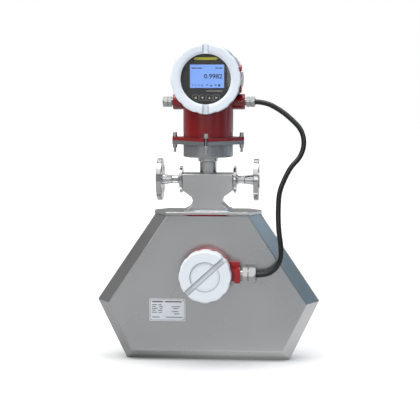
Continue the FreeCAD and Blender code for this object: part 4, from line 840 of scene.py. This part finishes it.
for low, high, level in ((pad_low, pad_high, pad_low.z), (-BLOCK_FOOT, BLOCK_FOOT, pad_high.z)):
    beads.append(bead_along([(low.x, low.y, level), (high.x, low.y, level), (high.x, high.y, level),
                             (low.x, high.y, level)], FILLET, True))
gather("weld_beads", beads, weld_steel, smooth=True)
polished = satin_steel("polished_edge", (0.92, 0.94, 0.96), (0.86, 0.88, 0.90), 0.06, 0.12, 600.0, 0.02)
EDGE_IN, CORNER_IN = 0.6, 2
left, right, front, back = pad_low.x, pad_high.x, pad_low.y, pad_high.y
edge_corners = (
    (left + CORNER_IN, front + EDGE_IN), (right - CORNER_IN, front + EDGE_IN),
    (right - EDGE_IN, front + CORNER_IN), (right - EDGE_IN, back - CORNER_IN),
    (right - CORNER_IN, back - EDGE_IN), (left + CORNER_IN, back - EDGE_IN),
    (left + EDGE_IN, back - CORNER_IN), (left + EDGE_IN, front + CORNER_IN),
)
pad_edge = [bead_along([(across, along, pad_high.z - EDGE_IN) for across, along in edge_corners], 1.0, True)]
gather("pad_edge", pad_edge, polished, smooth=True)
plate_low = box_of("case_top_plate")[0]
FOLD = 2.6
FOLD_HALF = 98
FOLD_DROP = 0.8
PANEL_SINK = 0.35
folds = [bead_along([(end * FOLD_HALF, side * case_low.y, plate_low.z - FOLD_DROP) for end in (-1, 1)],
                    FOLD, False) for side in (-1, 1)]
PANEL_CORNERS = (
    (-90.5, 346.5), (-231.3, 138.8), (-177.3, 26.7), (177.3, 26.7), (231.3, 138.8), (90.5, 346.5),
)
panel_folds = [bead_along([(across, side * (case_high.y - PANEL_SINK), up) for across, up in PANEL_CORNERS],
                          1.0, False) for side in (-1, 1)]
gather("panel_folds", panel_folds, tube_steel, smooth=True)


def make_fold_steel():
    """Bright steel with a painted reflection: a dark red streak coloured into its middle where it would
    mirror the red casting.
    """
    material = new_material("fold_steel", (0.5, 0.5, 0.5), 0.15, 1.0)
    tree = material.node_tree
    place = add_node(tree, "ShaderNodeTexCoord")
    split = add_node(tree, "ShaderNodeSeparateXYZ")
    aside = add_node(tree, "ShaderNodeMath", operation="ABSOLUTE")
    # Painted reflection: the red streak across the middle of the fold.
    painted_red_reflection = add_range(tree, 0.058, 0.042, kind="SMOOTHSTEP")
    tree.links.new(place.outputs["Object"], split.inputs["Vector"])
    tree.links.new(split.outputs["X"], aside.inputs[0])
    tree.links.new(aside.outputs["Value"], painted_red_reflection.inputs["Value"])
    tint_by(material, painted_red_reflection.outputs["Result"], (0.52, 0.52, 0.52), (0.22, 0.012, 0.02), 0.0, 1.0)
    return material


gather("top_fold", folds, make_fold_steel(), smooth=True)
print("weld beads done, neck foot at", round(neck_low.z, 1))

# %% [markdown]
# ### Threads
#
# The clamp bolts' ends show their threads below the nuts. A thread is one small triangle carried round the
# bolt while it climbs: a spin with a step along its axis.

# %% Cut threads on the clamp bolts
def thread(radius, pitch, turns, steps_a_turn=16):
    """A thread's ridge that climbs along Z from the origin."""
    bm = bmesh.new()
    profile = ((-0.2, 0), (pitch * 0.45, 0.5), (-0.2, 1))
    ridge = [bm.verts.new(((radius + out) * MM, 0, up * pitch * MM)) for out, up in profile]
    face = bm.faces.new(ridge)
    bmesh.ops.spin(bm, geom=[face], cent=(0, 0, 0), axis=(0, 0, 1), dvec=(0, 0, pitch / steps_a_turn * MM),
                   angle=math.tau * turns, steps=steps_a_turn * turns, use_merge=False)
    return bm


bolt_low = box_of("clamp_bolts")[0]
nut_low = box_of("clamp_nuts")[0]
BOLT_CIRCLE = 78.4
THREAD_RADIUS = 2.75
THREAD_PITCH = 1.0
THREAD_START = 0.6
turns = int((nut_low.z - bolt_low.z) / THREAD_PITCH) - 1
bolt_threads = [put(thread(THREAD_RADIUS, THREAD_PITCH, turns),
                    (BOLT_CIRCLE * math.cos(turn), BOLT_CIRCLE * math.sin(turn), bolt_low.z + THREAD_START))
                for turn in (0, math.pi / 2, math.pi, -math.pi / 2)]
gather("bolt_threads", bolt_threads, bright_zinc)
print("threads of", turns, "turns on four bolts")

# %% [markdown]
# ## The cable
#
# One black cable joins the junction box to the head. It leaves each gland straight and hangs in one long
# curve. A NURBS curve with few control points is the way to draw it, because it stays smooth however the
# points are moved.

# %% Lay the cable
CABLE_POINTS = (
    (104, 28, 608.8), (132, 28, 608.8), (169.3, 25, 589), (195.4, 17, 568), (218.7, 8, 544), (226, -3, 512),
    (216.2, -15, 481), (194.5, -26, 460), (179.6, -36, 432), (167.7, -47, 402), (165.8, -56, 370),
    (166, -63, 339), (168, -68, 309), (172.8, -71.3, 280), (173.6, -72, 250), (160.2, -72, 225.2),
    (137, -72, 211.5), (108.5, -72, 211.5),
)


def lay_cable():
    curve = bpy.data.curves.new("cable", "CURVE")
    curve.dimensions = "3D"
    curve.bevel_depth = 6 * MM
    curve.bevel_resolution = 8
    curve.use_fill_caps = True
    spline = curve.splines.new("NURBS")
    spline.points.add(len(CABLE_POINTS) - 1)
    for point, place in zip(spline.points, CABLE_POINTS):
        point.co = (*(v * MM for v in place), 1.0)
    spline.order_u = 3
    spline.use_endpoint_u = True
    spline.resolution_u = 16
    curve.materials.append(jacket)
    cable = bpy.data.objects.new("cable", curve)
    bpy.context.scene.collection.objects.link(cable)
    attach(cable, "meter")
    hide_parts("interconnect_cable")
    return cable


cable = lay_cable()
print("cable with", len(CABLE_POINTS), "control points")

# %% [markdown]
# ## The studio
#
# The meter stands on white paper in an even white light. Satin steel shows little but its surroundings, so
# the room is drawn as a soft gradient: bright overhead, middling in front and near the floor, dark to the
# sides and a little blue on the right. Plain white all round would be simpler, but it would wash the steel
# out, because every face of the case would mirror the same white. Dark flags and light strips stand round
# the meter at the height of its head. Only shiny surfaces mirror them, and they give round parts their
# crisp dark and light edges.

# %% The floor
def make_floor():
    """White paper that takes shadows and glows a little towards the lens so that it never looks grey; near
    the meter an AO node dims that glow, a painted contact shadow. Only reflections see a painted glow on the
    paper under the case, brighter towards the right.
    """
    bm = bmesh.new()
    bmesh.ops.create_grid(bm, x_segments=1, y_segments=1, size=12.0)
    mesh = bpy.data.meshes.new("floor")
    bm.to_mesh(mesh)
    bm.free()
    floor = bpy.data.objects.new("floor", mesh)
    bpy.context.scene.collection.objects.link(floor)
    paper = new_material("floor_paper", (0.43, 0.43, 0.43), 0.9)
    tree = paper.node_tree
    shader_of(paper).inputs["Emission Color"].default_value = (1.0, 1.0, 1.0, 1.0)
    place = add_node(tree, "ShaderNodeTexCoord")
    far = add_node(tree, "ShaderNodeVectorMath", operation="LENGTH")
    seen = add_range(tree, 0.6, 3.0, 0.66, 0.96)
    # Painted shadow: an AO node dims the lens-facing glow near the meter.
    painted_contact_shadow = add_node(tree, "ShaderNodeAmbientOcclusion", samples=16)
    painted_contact_shadow.inputs["Distance"].default_value = 0.2
    grounded = add_node(tree, "ShaderNodeMath", operation="MULTIPLY")
    # Painted reflection: shiny surfaces see the paper glow under the case, brighter towards the right; the
    # camera and matt surfaces don't.
    split = add_node(tree, "ShaderNodeSeparateXYZ")
    under = add_range(tree, -0.24, -0.05, kind="SMOOTHSTEP")
    rightward = add_range(tree, -0.28, 0.05, 0.0, 0.42)
    painted_reflection_glow = add_node(tree, "ShaderNodeMath", operation="MULTIPLY")
    path = add_node(tree, "ShaderNodeLightPath")
    mirrored = add_node(tree, "ShaderNodeMath", operation="MULTIPLY")
    glow = add_node(tree, "ShaderNodeMix", data_type="FLOAT")
    tree.links.new(place.outputs["Object"], far.inputs[0])
    tree.links.new(far.outputs["Value"], seen.inputs["Value"])
    tree.links.new(place.outputs["Object"], split.inputs["Vector"])
    tree.links.new(split.outputs["Y"], under.inputs["Value"])
    tree.links.new(split.outputs["X"], rightward.inputs["Value"])
    tree.links.new(under.outputs["Result"], painted_reflection_glow.inputs[0])
    tree.links.new(rightward.outputs["Result"], painted_reflection_glow.inputs[1])
    tree.links.new(path.outputs["Is Glossy Ray"], mirrored.inputs[0])
    tree.links.new(painted_reflection_glow.outputs["Value"], mirrored.inputs[1])
    tree.links.new(path.outputs["Is Camera Ray"], glow.inputs["Factor"])
    tree.links.new(mirrored.outputs["Value"], glow.inputs["A"])
    tree.links.new(seen.outputs["Result"], grounded.inputs[0])
    tree.links.new(painted_contact_shadow.outputs["AO"], grounded.inputs[1])
    tree.links.new(grounded.outputs["Value"], glow.inputs["B"])
    tree.links.new(glow.outputs["Result"], shader_of(paper).inputs["Emission Strength"])
    mesh.materials.append(paper)
    return floor


floor = make_floor()

# %% The room's gradient
LIT_LEVELS = (
    (-1.0, 0.55),
    (-0.45, 0.70),
    (-0.10, 0.52),
    (0.05, 0.42),
    (0.25, 0.27),
    (0.55, 0.32),
    (1.0, 1.15),
)
MIRRORED_LEVELS = (
    (-1.0, 0.50),
    (-0.45, 0.64),
    (-0.10, 0.48),
    (0.05, 0.40),
    (0.30, 0.27),
    (0.48, 0.23),
    (0.58, 1.15),
    (0.90, 1.35),
    (0.94, 0.30),
    (0.97, 0.30),
    (0.99, 1.7),
)
RIGHT_TINT = (0.74, 1.02, 1.25, 1.0)


def add_levels(tree, place, levels, first=-1, last=1):
    """A ramp of greys, with its stops spread between a first and a last place."""
    ramp = add_node(tree, "ShaderNodeValToRGB")
    stops = ramp.color_ramp.elements
    while len(stops) < len(levels):
        stops.new(0.5)
    for stop, (where, level) in zip(stops, levels):
        stop.position = (where - first) / (last - first)
        stop.color = (level, level, level, 1.0)
    tree.links.new(place, ramp.inputs["Fac"])
    return ramp.outputs["Color"]


FLAG_LEVELS = (
    (-180, 0.8),
    (-100, 0.55),
    (-80, 0.22),
    (-50, 0.30),
    (-38, 0.95),
    (-22, 0.75),
    (-15, 1.35),
    (-8, 0.6),
    (0, 1.25),
    (7, 0.6),
    (30, 0.7),
    (48, 1.15),
    (62, 0.30),
    (78, 0.55),
    (92, 1.1),
    (130, 0.6),
    (180, 0.8),
)


def add_flags(tree, split):
    """Upright dark flags and light strips that stand round the meter at the height of its head."""
    backwards = add_node(tree, "ShaderNodeMath", operation="MULTIPLY")
    backwards.inputs[1].default_value = -1.0
    turn = add_node(tree, "ShaderNodeMath", operation="ARCTAN2")
    around = add_range(tree, -math.pi, math.pi)
    ring = add_levels(tree, around.outputs["Result"], FLAG_LEVELS, -180, 180)
    low = add_range(tree, -0.12, -0.06, kind="SMOOTHSTEP")
    high = add_range(tree, 0.3, 0.12, kind="SMOOTHSTEP")
    where = add_node(tree, "ShaderNodeMath", operation="MULTIPLY")
    flags = add_node(tree, "ShaderNodeMix", data_type="RGBA")
    flags.inputs["A"].default_value = (1.0, 1.0, 1.0, 1.0)
    tree.links.new(split.outputs["Y"], backwards.inputs[0])
    tree.links.new(split.outputs["X"], turn.inputs[0])
    tree.links.new(backwards.outputs["Value"], turn.inputs[1])
    tree.links.new(turn.outputs["Value"], around.inputs["Value"])
    tree.links.new(split.outputs["Z"], low.inputs["Value"])
    tree.links.new(split.outputs["Z"], high.inputs["Value"])
    tree.links.new(low.outputs["Result"], where.inputs[0])
    tree.links.new(high.outputs["Result"], where.inputs[1])
    tree.links.new(where.outputs["Value"], flags.inputs["Factor"])
    tree.links.new(ring, flags.inputs["B"])
    return flags.outputs["Result"]


def make_room():
    """White to the lens, a soft gradient to matt surfaces and a crisper one to shiny surfaces."""
    world = bpy.data.worlds.new("studio")
    bpy.context.scene.world = world
    world.use_nodes = True
    tree = world.node_tree
    seen = tree.nodes["Background"]
    seen.inputs["Color"].default_value = (1.0, 1.0, 1.0, 1.0)
    light = add_node(tree, "ShaderNodeBackground")
    place = add_node(tree, "ShaderNodeTexCoord")
    split = add_node(tree, "ShaderNodeSeparateXYZ")
    height = add_range(tree, -1.0, 1.0)
    path = add_node(tree, "ShaderNodeLightPath")
    either = add_node(tree, "ShaderNodeMix", data_type="RGBA")
    tint = add_node(tree, "ShaderNodeMix", data_type="RGBA", blend_type="MULTIPLY")
    tint.inputs["B"].default_value = RIGHT_TINT
    tree.links.new(place.outputs["Generated"], split.inputs["Vector"])
    tree.links.new(split.outputs["Z"], height.inputs["Value"])
    tree.links.new(path.outputs["Is Glossy Ray"], either.inputs["Factor"])
    tree.links.new(add_levels(tree, height.outputs["Result"], LIT_LEVELS), either.inputs["A"])
    tree.links.new(add_levels(tree, height.outputs["Result"], MIRRORED_LEVELS), either.inputs["B"])
    tree.links.new(split.outputs["X"], tint.inputs["Factor"])
    flags = add_flags(tree, split)
    level = add_node(tree, "ShaderNodeMix", data_type="RGBA", blend_type="MULTIPLY")
    tree.links.new(path.outputs["Is Glossy Ray"], level.inputs["Factor"])
    tree.links.new(either.outputs["Result"], level.inputs["A"])
    tree.links.new(flags, level.inputs["B"])
    tree.links.new(level.outputs["Result"], tint.inputs["A"])
    tree.links.new(tint.outputs["Result"], light.inputs["Color"])
    mix = add_node(tree, "ShaderNodeMixShader")
    tree.links.new(path.outputs["Is Camera Ray"], mix.inputs["Fac"])
    tree.links.new(light.outputs["Background"], mix.inputs[1])
    tree.links.new(seen.outputs["Background"], mix.inputs[2])
    tree.links.new(mix.outputs["Shader"], tree.nodes["World Output"].inputs["Surface"])


make_room()

# %% The lights
def softbox(name, place, aim_at, width, height, power, mirrored=True):
    """A square soft light; one that isn't mirrored lights the paint and leaves the steel alone."""
    data = bpy.data.lights.new(name, "AREA")
    data.shape = "RECTANGLE"
    data.size = width
    data.size_y = height
    data.energy = power
    light = bpy.data.objects.new(name, data)
    bpy.context.scene.collection.objects.link(light)
    light.location = place
    light.rotation_euler = (Vector(aim_at) - Vector(place)).to_track_quat("-Z", "Y").to_euler()
    light.visible_glossy = mirrored
    return light


softbox("top_light", (0.0, -0.2, 2.4), (0, 0, 0.4), 1.6, 1.2, 26)
softbox("front_left_light", (-1.4, -3.0, 1.15), (0, 0, 0.5), 1.3, 1.1, 7)
softbox("front_right_light", (0.45, -3.2, 1.15), (0, 0, 0.5), 1.2, 1.1, 6)
softbox("paint_light", (-0.9, -1.8, 2.6), (0, 0, 0.4), 1.8, 1.2, 38, mirrored=False)
bpy.context.scene.view_settings.view_transform = "Standard"
